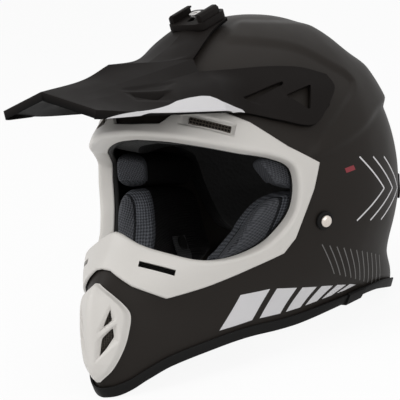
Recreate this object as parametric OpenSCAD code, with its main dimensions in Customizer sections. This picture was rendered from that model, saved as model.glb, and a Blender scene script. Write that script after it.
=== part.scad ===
// Off-road full-face helmet with a tilting peak.
// It is drawn level, as it is worn: the face looks along -Y, the wearer's left is +X,
// the crown axis is x = y = 0 and z = 0 is a level just under the chin.
// Every piece is then tipped back so that the chin and the nape rest on one plane.
// Places on the shell are given by an angle round the crown axis, 0 at the face, and a height.

/* [Shell] */
// Height of the crown
crown_h = 302; // [298:1:308]
// Height of the widest level
waist_h = 165; // [161:1:170]
// Width at the widest level
shell_w = 240; // [234:1:248]
// Reach of the chin ahead of the crown axis
chin_reach = 196; // [190:1:202]
// Reach of the back behind the crown axis
rear_reach = 106; // [101:1:111]
// Thickness of the outer shell
shell_wall = 4; // [3:0.5:4.5]
// Height of the raised crown above the side panels
crown_step = 2.5; // [1.5:0.5:3.5]
// Height of the raised crown above the back panels
rear_step = 5; // [3:0.5:6]
// Height of the chin rim
chin_low = 4.5; // [3:0.5:6]
// Height of the nape rim above the chin rim
rim_rise = 74.5; // [70:0.5:79]
// Height of the side rim above the line from chin to nape
rim_arch = 20; // [16:1:22]

/* [Trim] */
// Height of the rubber on the rim
trim_h = 8; // [6.5:0.5:9]
// Wall of the rubber on the rim
trim_wall = 1.8; // [1.2:0.1:2.2]
// Rubber under the edge of the shell
trim_sole = 3; // [2:0.5:4]

/* [Eyeport frame] */
// Height of the frame above the shell
frame_proud = 5; // [4:0.5:6]
// Extra height of the frame over the brow ducts
duct_proud = 3; // [2:0.5:4]
// Depth of the lip that lines the eyeport
lip_depth = 8; // [6:0.5:9]
// Thickness of that lip
lip_wall = 2.2; // [1.6:0.2:2.6]
// Size of the rubber seal behind the lip
seal_size = 4; // [3:0.5:4.5]

/* [Mouth vent] */
// Half width of the vent cover
vent_half_w = 21.5; // [19.5:0.5:23.5]
// Height of the vent cover above the shell
vent_proud = 6; // [4.5:0.5:7]

/* [Peak] */
// Length of the blade ahead of the brow
blade_l = 107; // [95:1:117]
// Width of the blade at its front edge
blade_w = 93; // [84:1:102]
// Rise of the blade's ridge above its front corners
blade_gable = 13.5; // [9:0.5:17]
// Set-back of the blade's front corners from its tip
blade_sweep = 9; // [6:1:14]
// Thickness of the peak
peak_wall = 3; // [2.4:0.2:3.4]
// Gap between the peak and the shell
peak_gap = 3; // [2.6:0.2:4]
// Travel of the peak upwards from rest, in degrees
peak_travel = 6; // [4:1:7]
// Diameter of the side studs that the peak turns on
stud_d = 6; // [5:0.5:7]
// Diameter of the screw at the top of the peak
screw_d = 5; // [4:0.5:6]

/* [Camera mount] */
// Width of the mount
mount_w = 35; // [34:1:42]
// Length of the mount
mount_l = 36; // [34:1:44]
// Width of the slide between the rails
slide_w = 24; // [22:1:26]
// Height of the slide
slide_h = 5; // [4.5:0.5:8]

/* [Liner] */
// Thickness of the impact foam
foam_t = 26; // [22:1:28]
// Thickness of the comfort padding
pad_t = 9; // [7:1:11]
// Thickness of the cheek pads
cheek_t = 32; // [26:1:34]
// Thickness of the temple pads
side_t = 26; // [20:1:28]
// Radius of the neck roll
roll_r = 10.5; // [9:0.5:11]

/* [Chin strap] */
// Width of the webbing
strap_w = 24; // [20:1:26]
// Thickness of the webbing
strap_t = 1.8; // [1.4:0.2:2.2]
// Diameter of the rivet shank
rivet_d = 5; // [4:0.5:6]
// Diameter of the rivet washer
washer_d = 15; // [13:0.5:16]
// Wire of the strap rings
ring_wire = 3.2; // [2.6:0.2:3.6]

/* [Hidden] */

// Gap between pieces that are seated on each other
seat = 0.4;
// The same between two curved pieces whose facets differ
form_seat = 1.1;
// Radial clearance of a shaft in its bore
fit = 0.05;
// Length of dome arc, in millimetres, for one degree of latitude
arc_per_deg = 2.2;
// Latitude at which the crown is closed by a flat cap
cap_lat = 86;
// Columns round the crown axis and rows up a meridian
cols = 60;
rows = 20;

charcoal = "#37342f";
white_plastic = "#d8d4cf";
black_rubber = "#222222";
grey_cloth = "#7d7f86";
steel = "#b9bcc0";

// Profiles of the shell: each row is a height and an inset from the reach or the half width
chin_inset = [[0, 16], [15, 6], [45, 0], [72, 0], [95, 7], [127, 27], [waist_h, 37], [waist_h + 38, 27]];
rear_inset = [[60, 0], [80, -2], [95, 1], [111, 8], [140, 3], [waist_h, 0], [waist_h + 25, 3]];
side_inset = [[0, 49], [36, 37], [55, 34], [70, 31], [90, 20], [111, 12], [140, 3], [waist_h, 0],
    [waist_h + 25, 3]];
// Squareness of the level sections, 2 for an ellipse
front_power = [[0, 1.55], [75, 1.5], [127, 1.6], [waist_h, 1.68]];
rear_power = [[60, 3], [80, 3], [111, 2.3], [waist_h, 2.15]];
// Lower edge of the raised crown, and the pocket in it that the peak's arm lies in, by angle
step_edge = [[0, 178], [50, 178], [61, 185], [71, 193], [82, 203], [99, 221], [108, 226], [120, 229],
    [140, 231], [180, 232]];
pocket_low = [[0, 180], [55, 186], [62, 199], [78, 226], [88, 240], [96, 262]];
pocket_high = [[0, 279], [30, 276], [64, 270], [84, 254], [88, 250], [96, 232]];
// Width over which a step in the shell fades
step_fade = 7;

// Rim: share of the side arch by angle
arch_share = [[0, 0], [6, 0], [9, 0.48], [14, 0.77], [24, 0.96], [34, 1], [48, 0.87], [60, 0.82], [90, 0.88],
    [112, 0.87], [130, 0.45], [148, 0], [180, 0]];
chin_foot = front_half(chin_low);
nape_foot = rear_half(chin_low + rim_rise);
stand_tilt = atan(rim_rise / (chin_foot + nape_foot));
// Point of the rest plane that becomes the origin, under the middle of the head opening
foot_y = (nape_foot - chin_foot) / 2;
foot_z = chin_low + (foot_y + chin_foot) * tan(stand_tilt);
// Angle at which the front rim rubber meets the neck rubber
trim_join = 90;

// Eyeport frame: outer edge and inner edge, each as angle and height, from brow to chin
frame_edges = [
    [[0, 210.6], [0, 201.5]], [[8.4, 211], [9, 200]], [[12.8, 220.5], [15, 198]], [[25, 221.5], [24, 194.2]],
    [[36, 212], [33, 190]], [[49.5, 194], [43.5, 186]], [[62, 181.5], [51, 179]], [[59.5, 161], [53, 164]],
    [[57, 147], [52, 146]], [[53, 124], [48, 132]], [[48.5, 112.5], [41, 118.5]], [[37, 102], [31, 109.5]],
    [[23, 88], [21.5, 108]], [[13.6, 79.5], [13, 113.5]], [[7, 88.5], [7, 119]], [[2, 99.5], [2, 126.5]],
    [[0, 100.5], [0, 128.5]]];
// Share of the duct's extra height at each of those stations
duct_share = [0.2, 0.3, 0.9, 1, 1, 0.5, 0, 0, 0, 0, 0, 0, 0, 0, 0, 0, 0];
// Steps between two stations of the frame
frame_sub = 2;
// Stand-off of the shell's edge from the lip
port_clear = 1.2;
// Windows: angle, height, turn, length and width
brow_window = [23.2, 209.4, -14, 33, 5.6];
chin_window = [11.6, 101.6, -15, 28.5, 4.6];
window_depth = 30;
mesh_t = 1.2;
mesh_pitch = 2.6;
mesh_bar = 0.8;

// Mouth vent cover: height and share of the half width
vent_outline = [[17, 0.08], [26, 0.48], [41, 0.81], [56, 0.97], [68, 1], [75, 0.85], [82, 0.55], [90, 0.08]];
vent_bevel = 4;
// Windows in one half of the cover, across and height
vent_window_high = [[7, 58.5], [11, 72], [12, 63.5]];
vent_window_low = [[4, 36.5], [6, 50], [12.5, 58], [13, 51]];
// Opening of the chin behind the cover
mouth_half_w = 14.5;
mouth_low = 38;
mouth_high = 70;

// Rear vents: span in angle and height
rear_vent_from = 120;
rear_vent_to = 152;
rear_vent_low = 152;
rear_vent_h = 20;
rear_vent_proud = 4;

// Peak: the brow point that the blade is measured from
brow_z = 215;
corner_z = 220.5;
ridge_z = 256;
valley_z = 255;
arm_off = peak_gap + peak_wall;
// Steps between two rows and two columns of the peak's net
peak_row_sub = 3;
peak_col_sub = 2;
// Last row of the net that is whole, and the column where the stem and the arm part
split_row = 2;
split_col = 2;
// Place on the shell of the side studs and of the top screw
stud_angle = 66;
stud_z = 232;
screw_z = 287.6;
boss_d = stud_d + 5;
stud_head_d = stud_d + 5;
stud_head_t = 2;
screw_head_d = 2 * screw_d;
screw_head_t = 2;
nut_d = 12;
nut_t = 4;
mount_base_t = 3;
mount_seat = 0.8;
mount_r = 6;
rail_lip = 1.5;
rail_l = mount_l - 12;
rail_back = -2;
rail_top = mount_base_t + slide_h + rail_lip;
// Inner end of the side studs, behind the slanting wall of the shell
stud_in = -2.1 * shell_wall - 3;
// Openings of the peak: blade across and back from its tip, arm in its own surface
blade_slot = [[32, 61.5], [44.5, 88.5], [46.5, 76.5]];
arm_window = [[-16.5, 0.5], [7.5, 10], [2, -12]];
arm_slot = [[-22, -8.5], [11.5, 5.5], [12.5, 3.5], [-18.5, -12.5]];
// Room under the screw head and slot that let the peak tilt
tilt_clear = 1.5;
tilt_slot = (screw_z - stud_z) * sin(peak_travel) * 1.3;

// Foam: lower edge of the impact foam by angle
foam_edge = [[0, 208], [30, 200], [42, 195], [54, 194], [106, 194], [126, 124], [180, 122]];
foam_off = shell_wall + form_seat + 0.3;
foam_in = foam_off + foam_t;
pad_off = foam_in + form_seat;
crown_pad_low = 222;
crown_pad_channels = 8;
channel_depth = 2.5;
// Chin foam: upper edge by angle
chin_foam_edge = [[0, 116], [8, 109], [14, 102], [22, 98], [30, 98]];
chin_foam_span = 26;
chin_foam_t = 17;
chin_foam_off = foam_off + 0.9;
chin_foam_lift = trim_h + 1.5;

// Pads: front edge as height and angle, span in height, angle of the rear edge
cheek_front = [[77, 31], [98, 31], [106, 29], [118, 35], [134, 39], [150, 44], [158, 50]];
cheek_heights = [77, 158];
side_front = [[160, 49], [172, 46], [185, 42], [192, 42]];
side_heights = [158.5, 193];
pad_rear = 104;
roll_span = [118, 242];
roll_z = 100;
roll_off = shell_wall + 0.9 + roll_r;
snap_d = 12;
snap_places = [[78, 140], [92, 118], [78, 98]];

// Strap: rivet place and the stack inside the shell
rivet_angle = 65.3;
rivet_z = 137;
plate_t = 1.5;
plate_off = shell_wall + form_seat;
strap_off = plate_off + plate_t + seat + strap_t / 2;
cheek_off = strap_off + strap_t / 2 + 4.4;
side_off = cheek_off;
washer_t = 2.5;
rivet_head_d = 9.5;
rivet_head_h = 2.8;
// Strap route inside the shell: stand-off and height
short_route = [[strap_off, 148], [strap_off, 126], [strap_off, 104], [strap_off, 90], [strap_off + 5, 79],
    [strap_off + 14, 73]];
long_route = [[strap_off, 148], [strap_off, 126], [strap_off, 104], [strap_off, 88], [strap_off + 2, 78],
    [strap_off + 9, 72.5], [strap_off + 20, 71], [strap_off + 31, 72], [cheek_off + cheek_t + 2.4, 80],
    [cheek_off + cheek_t + 3.4, 92], [cheek_off + cheek_t + 3.4, 106]];
ring_bar = ring_wire - 0.2;
ring_pitch = ring_wire + 2;
loop_h = ring_bar + 4;
ring_half_w = strap_w / 2 + 1.2 + ring_wire / 2;
snap_z = 98;
snap_cap_d = 12;
snap_cap_t = 2;

// Small mathematics

function unit(v) = v / norm(v);
function flat(list) = [for (row = list) each row];
function ramp(x) = let (t = min(1, max(0, x))) t * t * (3 - 2 * t);
function mix(a, b, t) = a + (b - a) * t;
function fold(angle) = let (a = ((angle % 360) + 360) % 360) a > 180 ? 360 - a : a;

// Smooth curve through the rows of a table
function segment(tab, x, i = 0) = i >= len(tab) - 2 || x < tab[i + 1][0] ? i : segment(tab, x, i + 1);
function slope(tab, i) =
    let (a = max(0, i - 1), b = min(len(tab) - 1, i + 1)) (tab[b][1] - tab[a][1]) / (tab[b][0] - tab[a][0]);
function hermite(p, q, u, v, t) =
    (2 * t * t * t - 3 * t * t + 1) * p + (t * t * t - 2 * t * t + t) * u
    + (3 * t * t - 2 * t * t * t) * q + (t * t * t - t * t) * v;
function spline(tab, x) =
    x <= tab[0][0] ? tab[0][1] : x >= tab[len(tab) - 1][0] ? tab[len(tab) - 1][1] :
    let (i = segment(tab, x), h = tab[i + 1][0] - tab[i][0])
    hermite(tab[i][1], tab[i + 1][1], h * slope(tab, i), h * slope(tab, i + 1), (x - tab[i][0]) / h);

// Smooth curve through a list of points, with a corner at the index crease
function chain(p, x, crease = -1) =
    let (n = len(p) - 1, i = min(n - 1, max(0, floor(x))), d = p[i + 1] - p[i],
        u = i == 0 || i == crease ? d : (p[i + 1] - p[i - 1]) / 2,
        v = i + 1 == n || i + 1 == crease ? d : (p[i + 2] - p[i]) / 2)
    hermite(p[i], p[i + 1], u, v, x - i);

// The form of the shell

function front_half(z) = chin_reach - spline(chin_inset, z);
function rear_half(z) = rear_reach - spline(rear_inset, z);
function side_half(z) = shell_w / 2 - spline(side_inset, z);
function section(angle, z) =
    let (c = cos(angle), w = side_half(z), l = c >= 0 ? front_half(z) : rear_half(z),
        n = spline(c >= 0 ? front_power : rear_power, z))
    pow(pow(abs(sin(angle)) / w, n) + pow(abs(c) / l, n), -1 / n);
function pocket(a, z) =
    ramp((z - spline(pocket_low, a)) / step_fade + 0.5)
        * ramp((spline(pocket_high, a) - z) / step_fade + 0.5);
function lift(angle, z) =
    let (a = fold(angle), rear = ramp((a - 95) / 25),
        over = mix(ramp((crown_h - 5 - z) / 8), ramp((crown_h - 26 - z) / 22), rear))
    mix(crown_step, rear_step, rear) * ramp((z - spline(step_edge, a)) / step_fade + 0.5) * (1 - pocket(a, z))
    * max(ramp((a - 56) / 8), ramp((a - 18) / 10) * ramp((z - 240) / 10)) * over;
// A meridian is measured in millimetres of arc, from the waist
function arc_of(z) =
    z < waist_h ? z - waist_h : arc_per_deg * asin(min(1, (z - waist_h) / (crown_h - waist_h)));
function arc_z(s) = s < 0 ? waist_h + s : waist_h + (crown_h - waist_h) * sin(s / arc_per_deg);
// Plain form, and the form with its raised crown
function plain(angle, s) =
    let (z = arc_z(s), r = section(angle, min(z, waist_h)) * (s < 0 ? 1 : cos(s / arc_per_deg)))
    [r * sin(angle), -r * cos(angle), z];
function form(angle, s) =
    let (p = plain(angle, s)) p + lift(angle, p.z) * unit([p.x, p.y, max(0, p.z - waist_h) + 1]);
function across(angle, s) = unit(form(angle + 0.5, s) - form(angle - 0.5, s));
function outward(angle, s) =
    unit(cross(form(angle + 0.5, s) - form(angle - 0.5, s), form(angle, s + 0.5) - form(angle, s - 0.5)));
function plain_outward(angle, s) =
    unit(cross(plain(angle + 0.5, s) - plain(angle - 0.5, s), plain(angle, s + 0.5) - plain(angle, s - 0.5)));
// Point at an angle and a height inside the shell, deep millimetres from its plain form
function inside(angle, z, deep) = let (s = arc_of(z)) plain(angle, s) - deep * plain_outward(angle, s);
// Point at an angle and a height, off millimetres outside the shell
function on(angle, z, off = 0) = let (s = arc_of(z)) form(angle, s) + off * outward(angle, s);

// Height of the rim at an angle
function rim_z(angle, z = 50, turns = 10) =
    turns == 0 ? z :
    rim_z(angle, chin_low + (chin_foot - section(angle, z) * cos(angle)) * tan(stand_tilt)
        + rim_arch * max(0, spline(arch_share, fold(angle))), turns - 1);

// Solids from grids of points

// Closed cup from an outer and an inner grid, both from the edge up to the crown
module cup(outer, inner) {
    m = len(outer) - 1;
    c = len(outer[0]);
    k = (m + 1) * c;
    top = 2 * k;
    middle = function (row) [for (i = [0:2]) (row[0][i] + row[floor(c / 2)][i]) / 2];
    points = concat(flat(outer), flat(inner), [middle(outer[m]), middle(inner[m])]);
    faces = [
        for (i = [0:m - 1], j = [0:c - 1])
            let (a = i * c + j, b = i * c + (j + 1) % c, d = a + c, e = b + c)
            each [[a, d, e], [a, e, b], [k + a, k + e, k + d], [k + a, k + b, k + e]],
        for (j = [0:c - 1])
            let (a = j, b = (j + 1) % c, t = m * c + j, u = m * c + (j + 1) % c)
            each [[a, b, k + b], [a, k + b, k + a], [u, t, top], [k + t, k + u, top + 1]]];
    polyhedron(points, faces);
}

// Closed ring, or bar with end caps, from stations that hold one section each
module loft(stations, closed = false, caps = []) {
    n = len(stations);
    k = len(stations[0]);
    last = (n - 1) * k;
    polyhedron(flat(stations), [
        for (i = [0:closed ? n - 1 : n - 2], j = [0:k - 1])
            let (row = i * k, next = ((i + 1) % n) * k, side = (j + 1) % k,
                a = row + j, b = row + side, d = next + j, e = next + side)
            each [[a, d, e], [a, e, b]],
        if (!closed) each [for (t = caps) t],
        if (!closed) each [for (t = caps) [last + t[2], last + t[1], last + t[0]]]]);
}

// Triangles that close a convex section of k points
function fan(k) = [for (j = [1:k - 2]) [0, j, j + 1]];

// Plate between two grids, made only of the cells that are kept
module sheet(upper, lower, kept) {
    m = len(upper);
    c = len(upper[0]);
    k = m * c;
    has = function (i, j) i >= 0 && j >= 0 && i < m - 1 && j < c - 1 && kept[i][j];
    polyhedron(concat(flat(upper), flat(lower)), [
        for (i = [0:m - 2], j = [0:c - 2]) if (kept[i][j])
            let (a = i * c + j, b = a + 1, d = a + c, e = d + 1)
            each concat(
                [[a, d, e], [a, e, b], [k + a, k + e, k + d], [k + a, k + b, k + e]],
                has(i - 1, j) ? [] : [[a, b, k + b], [a, k + b, k + a]],
                has(i + 1, j) ? [] : [[e, d, k + d], [e, k + d, k + e]],
                has(i, j - 1) ? [] : [[d, a, k + a], [d, k + a, k + d]],
                has(i, j + 1) ? [] : [[b, e, k + e], [b, k + e, k + b]])]);
}

// Sum of a list of vectors
function total(list, i = 0) = i >= len(list) ? [0, 0, 0] : list[i] + total(list, i + 1);

// Plain helpers

module stand() { rotate([-stand_tilt, 0, 0]) translate([0, -foot_y, -foot_z]) children(); }
module one_mesh() { resize([0, 0, 0]) children(); }
module pair() { children(); mirror([1, 0, 0]) children(); }

// Places its children on the shell: x round the head, y up, z outward
module on_shell(angle, z) {
    s = arc_of(z);
    p = form(angle, s);
    w = outward(angle, s);
    u = across(angle, s);
    v = cross(w, u);
    multmatrix([[u.x, v.x, w.x, p.x], [u.y, v.y, w.y, p.y], [u.z, v.z, w.z, p.z], [0, 0, 0, 1]]) children();
}

// A round-cornered rectangle
module rounded(w, l, r) {
    square([w - 2 * r, l], center = true);
    square([w, l - 2 * r], center = true);
    for (x = [-1, 1], y = [-1, 1]) translate([x * (w / 2 - r), y * (l / 2 - r)]) circle(r, $fn = 32);
}

// A slot from the origin to y = -l
module slot(d, l) {
    circle(d = d, $fn = 32);
    translate([-d / 2, -l]) square([d, l]);
    translate([0, -l]) circle(d = d, $fn = 32);
}

// Grid of the shell at one stand-off, from the lower edge given by a table or a function
function cup_grid(off, low, n = rows, c = cols) =
    [for (i = [0:n]) [for (j = [0:c - 1])
        let (angle = 360 * j / c, a = arc_of(low(angle)), s = mix(a, arc_per_deg * cap_lat, i / n))
        form(angle, s) + off * outward(angle, s)]];
function foam_grid(deep, low, n, c) =
    [for (i = [0:n]) [for (j = [0:c - 1])
        let (angle = 360 * j / c, s = mix(arc_of(low(angle)), arc_per_deg * cap_lat, i / n))
        plain(angle, s) - deep * plain_outward(angle, s)]];

// Eyeport frame

function frame_station(x) =
    let (n = len(frame_edges) - 1, i = min(n - 1, floor(x)), t = x - i)
    [mix(frame_edges[i][0], frame_edges[i + 1][0], t), chain([for (e = frame_edges) e[1]], x),
        mix(duct_share[i], duct_share[i + 1], t)];
function frame_loop() =
    let (n = (len(frame_edges) - 1) * frame_sub)
    concat([for (i = [0:n]) concat(frame_station(i / frame_sub), [1])],
        [for (i = [n - 1:-1:1]) concat(frame_station(i / frame_sub), [-1])]);
// Point of the frame at a distance from the lip's edge towards the outer edge
function frame_point(st, dist, off) =
    let (o = [st[3] * st[0][0], st[0][1]], e = [st[3] * st[1][0], st[1][1]],
        width = norm(inside(o[0], o[1], 0) - inside(e[0], e[1], 0)), p = mix(e, o, min(1, dist / width)))
    inside(p[0], p[1], -off);
function frame_section(st) =
    let (o = [st[3] * st[0][0], st[0][1]], proud = frame_proud + duct_proud * st[2])
    [inside(o[0], o[1], -form_seat - 0.4), inside(o[0], o[1], -2.8), frame_point(st, 9, 0.9 * proud),
        frame_point(st, 3.5, proud), frame_point(st, 0.5, proud - 2), frame_point(st, 0, proud - 4),
        frame_point(st, 0, -lip_depth), frame_point(st, lip_wall, -lip_depth),
        frame_point(st, lip_wall, form_seat), frame_point(st, 10, form_seat + 0.9)];

module window_prism(place, grow = 0, depth = window_depth) {
    on_shell(place[0], place[1]) rotate([0, 0, place[2]])
        linear_extrude(depth, center = true)
            square([place[3] + 2 * grow, place[4] + 2 * grow], center = true);
}

module window_mesh(place, off) {
    l = place[3] - 2 * seat;
    w = place[4] - 2 * seat;
    holes = floor((l - mesh_bar) / mesh_pitch);
    on_shell(place[0], place[1]) rotate([0, 0, place[2]]) translate([0, 0, off]) linear_extrude(mesh_t)
        difference() {
            square([l, w], center = true);
            for (i = [0:holes - 1], y = [-1, 1])
                translate([(i + 0.5 - holes / 2) * mesh_pitch, y * (w - mesh_bar) / 4])
                    square([mesh_pitch - mesh_bar, (w - 3 * mesh_bar) / 2], center = true);
        }
}

module port_plug() {
    loop = frame_loop();
    n = len(loop);
    reach = 16;
    front = [for (st = loop) frame_point(st, lip_wall + port_clear, reach)];
    back = [for (st = loop) frame_point(st, lip_wall + port_clear, -reach)];
    points = concat(front, back, [[0, -chin_reach - 2 * reach, waist_h], [0, -chin_reach / 2, waist_h]]);
    polyhedron(points, [for (i = [0:n - 1]) let (j = (i + 1) % n)
        each [[i, j, 2 * n], [n + j, n + i, 2 * n + 1], [i, n + j, j], [i, n + i, n + j]]]);
}

module mouth_prism(grow = 0) {
    translate([0, 0, (mouth_low + mouth_high) / 2]) rotate([90, 0, 0]) linear_extrude(2 * chin_reach)
        square([2 * (mouth_half_w + grow), mouth_high - mouth_low + 2 * grow], center = true);
}

// Bore along X at the side studs, from one distance to another along the axis
function stud_seat() = on(stud_angle, stud_z);
module stud_bore(d, from, to) {
    p = stud_seat();
    translate([p.x + from, p.y, p.z]) rotate([0, 90, 0]) cylinder(d = d, h = to - from, $fn = 48);
}

// Shell and its fixed covers

module outer_shell() {
    low = function (angle) rim_z(angle) + trim_sole + seat;
    color(charcoal) stand() difference() {
        one_mesh() difference() {
            cup(cup_grid(0, low), cup_grid(-shell_wall, low));
            port_plug();
            mouth_prism();
            pair() window_prism(brow_window, -seat);
            pair() window_prism(chin_window, -seat);
        }
        pair() on_shell(rivet_angle, rivet_z) translate([0, 0, -2 * shell_wall])
            cylinder(d = rivet_d + 2 * fit, h = 4 * shell_wall, $fn = 48);
        pair() stud_bore(stud_d + 2 * fit, -4 * shell_wall, 4 * shell_wall);
        on_shell(0, screw_z) translate([0, 0, -2 * shell_wall])
            cylinder(d = screw_d + 2 * fit, h = 4 * shell_wall, $fn = 48);
    }
}

module front_fascia() {
    color(white_plastic) stand() one_mesh() difference() {
        loft([for (st = frame_loop()) frame_section(st)], closed = true);
        pair() window_prism(brow_window);
        pair() window_prism(chin_window);
    }
}

module eyeport_seal() {
    front = -lip_depth - seat;
    back = front - seal_size;
    color(black_rubber) stand() loft([for (st = frame_loop())
        [frame_point(st, seal_size, front), frame_point(st, 0.3, front),
            frame_point(st, 0.3, back), frame_point(st, seal_size, back)]], closed = true);
}

module brow_vent_meshes() {
    color(black_rubber) stand() pair() window_mesh(brow_window, 2.5);
}

module chin_slot_meshes() {
    color(black_rubber) stand() pair() window_mesh(chin_window, 1);
}

// Front of the shell at a place across and up, off millimetres ahead of it
function chin_point(x, z, off) = chin_search(x, z, off, asin(x / chin_reach), 6);
function chin_search(x, z, off, a, turns) =
    turns == 0 ? on(a, z, off) : chin_search(x, z, off, asin(x / section(a, z)), turns - 1);

module mouth_vent() {
    steps = 12;
    low = vent_outline[0][0];
    high = vent_outline[len(vent_outline) - 1][0];
    rib = [for (i = [0:steps]) let (z = mix(low, high, i / steps), w = vent_half_w * spline(vent_outline, z),
        b = min(vent_bevel, w / 2), rise = mix(2, vent_proud, min(1, w / vent_half_w * 1.6)))
        [chin_point(-w, z, form_seat), chin_point(-w, z, 2.4), chin_point(b - w, z, rise),
            chin_point(0, z, rise), chin_point(w - b, z, rise), chin_point(w, z, 2.4),
            chin_point(w, z, form_seat),
            chin_point(w / 2, z, form_seat), chin_point(0, z, form_seat), chin_point(-w / 2, z, form_seat)]];
    color(white_plastic) stand() one_mesh() difference() {
        loft(rib, caps = [[0, 1, 9], [1, 2, 9], [2, 8, 9], [2, 3, 8],
            [3, 4, 8], [4, 7, 8], [4, 5, 7], [5, 6, 7]]);
        pair() rotate([90, 0, 0]) linear_extrude(2 * chin_reach) polygon(vent_window_high);
        pair() rotate([90, 0, 0]) linear_extrude(2 * chin_reach) polygon(vent_window_low);
    }
}

module mouth_vent_mesh() {
    nx = 12;
    nz = 13;
    off = -shell_wall / 2;
    grid = function (o) [for (i = [0:nz]) [for (j = [0:nx])
        let (half = mouth_half_w - seat, z = mix(mouth_low + seat, mouth_high - seat, i / nz))
        chin_point(mix(-half, half, j / nx), z, o)]];
    color(black_rubber) stand() sheet(grid(off), grid(off - mesh_t),
        [for (i = [0:nz - 1]) [for (j = [0:nx - 1]) i % 2 == 0 || j % 2 == 0 || j == nx - 1]]);
}

// Exhaust scoop on one side of the back
module rear_vent() {
    steps = 8;
    stand() loft([for (i = [0:steps])
        let (t = i / steps, a = mix(rear_vent_from, rear_vent_to, t), h = sin(180 * mix(0.12, 0.88, t)),
            rise = rear_vent_proud * h, low = rear_vent_low, mid = low + 0.3 * rear_vent_h,
            high = low + rear_vent_h)
        [on(a, mid, seat), on(a, high, seat), on(a, high, seat + 0.8),
            on(a, mid, rise), on(a, low, rise), on(a, low, seat)]],
        caps = fan(6));
}
module rear_vent_left() { color(charcoal) rear_vent(); }
module rear_vent_right() { color(charcoal) mirror([1, 0, 0]) rear_vent(); }

// Rubber channel on the rim between two angles
module channel(from, to) {
    n = round((to - from) * cols / 360);
    over = shell_wall + form_seat;
    sections = [for (i = [0:n])
        let (a = mix(from, to, i / n), z = rim_z(a), s = arc_of(z), w = outward(a, s),
            up = [0, -sin(stand_tilt), cos(stand_tilt)], out = unit(w - up * (w * up)), foot = form(a, s))
        [foot - (over + trim_wall) * out, on(a, z + trim_h, -over - trim_wall), on(a, z + trim_h, -over),
            on(a, z + trim_sole, -over), on(a, z + trim_sole, form_seat), on(a, z + trim_h, form_seat),
            on(a, z + trim_h, form_seat + trim_wall), foot + (form_seat + trim_wall) * out]];
    loft(sections, caps = [[0, 1, 2], [0, 2, 3], [0, 3, 4], [0, 4, 7], [4, 5, 7], [5, 6, 7]]);
}
module rim_trim() { color(black_rubber) stand() channel(-trim_join, trim_join); }
module neck_trim() { color(black_rubber) stand() channel(trim_join + 0.3, 360 - trim_join - 0.3); }

// Peak

brow = on(0, brow_z);
front_y = brow.y - blade_l;
crest_y = brow.y - 32;
apex_z = corner_z + blade_gable;
// Net of one half, from the front edge back, from the ridge out
peak_net = [
    [for (t = [0:0.2:1.01]) [t * blade_w / 2, front_y + blade_sweep * t, mix(apex_z, corner_z, t)]],
    [[0, front_y + 45, apex_z + 9.5], [10, front_y + 49, apex_z + 7.5], [20, front_y + 53, apex_z + 4.5],
        [31, front_y + 57, apex_z], [45, front_y + 60, apex_z - 7], [58, front_y + 61, corner_z - 1]],
    [[0, crest_y, ridge_z], [13, crest_y + 33, ridge_z + 2.5], on(13, 257.5, arm_off),
        on(16.5, 248, arm_off), [57, crest_y + 60, ridge_z - 12.5], [75, crest_y + 49, corner_z + 1]],
    [[0, crest_y + 34, valley_z], [15, crest_y + 52, valley_z + 5], on(13.5, 263.5, arm_off),
        on(28, 250, arm_off), on(34, 237, arm_off), on(35, 217.5, arm_off)],
    [on(0, 266, arm_off), on(7, 270, arm_off), on(14, 271.5, arm_off),
        on(42, 252.5, arm_off), on(46, 236, arm_off), on(46, 213, arm_off)],
    [on(0, 281, arm_off), on(7, 282, arm_off), on(14.5, 281.5, arm_off),
        on(58, 252.5, arm_off), on(60, 234, arm_off), on(60, 209.5, arm_off)],
    [on(0, 294.5, arm_off), on(8, 293.5, arm_off), on(16.5, 291, arm_off),
        on(72, 247.5, arm_off), on(74, 238, arm_off), on(69, 225.5, arm_off)]];
function peak_row(net_row, x) =
    x <= split_col ? chain([for (k = [0:split_col]) net_row[k]], x) :
    x <= split_col + 1 ? mix(net_row[split_col], net_row[split_col + 1], x - split_col) :
    chain([for (k = [split_col + 1:len(net_row) - 1]) net_row[k]], x - split_col - 1);
function peak_point(r, x) =
    let (row = [for (k = [0:len(peak_net[0]) - 1]) chain([for (n = peak_net) n[k]], r, split_row)],
        p = peak_row(row, abs(x)))
    [x < 0 ? -p.x : p.x, p.y, p.z];

module peak_sheet() {
    nr = (len(peak_net) - 1) * peak_row_sub;
    half = (len(peak_net[0]) - 1) * peak_col_sub;
    upper = [for (i = [0:nr]) [for (j = [-half:half]) peak_point(i / peak_row_sub, j / peak_col_sub)]];
    kept = [for (i = [0:nr - 1]) [for (j = [-half:half - 1])
        let (x = abs(j + 0.5) / peak_col_sub)
        i < split_row * peak_row_sub || x < split_col || x > split_col + 1]];
    lower = [for (i = [0:nr]) [for (j = [0:2 * half])
        let (cells = [for (a = [i - 1, i], b = [j - 1, j])
            if (a >= 0 && b >= 0 && a < nr && b < 2 * half) if (kept[a][b])
                unit(cross(upper[a + 1][b + 1] - upper[a][b], upper[a + 1][b] - upper[a][b + 1]))])
        upper[i][j] - (len(cells) == 0 ? [0, 0, 0] : peak_wall * unit(total(cells)))]];
    sheet(upper, lower, kept);
}

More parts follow.
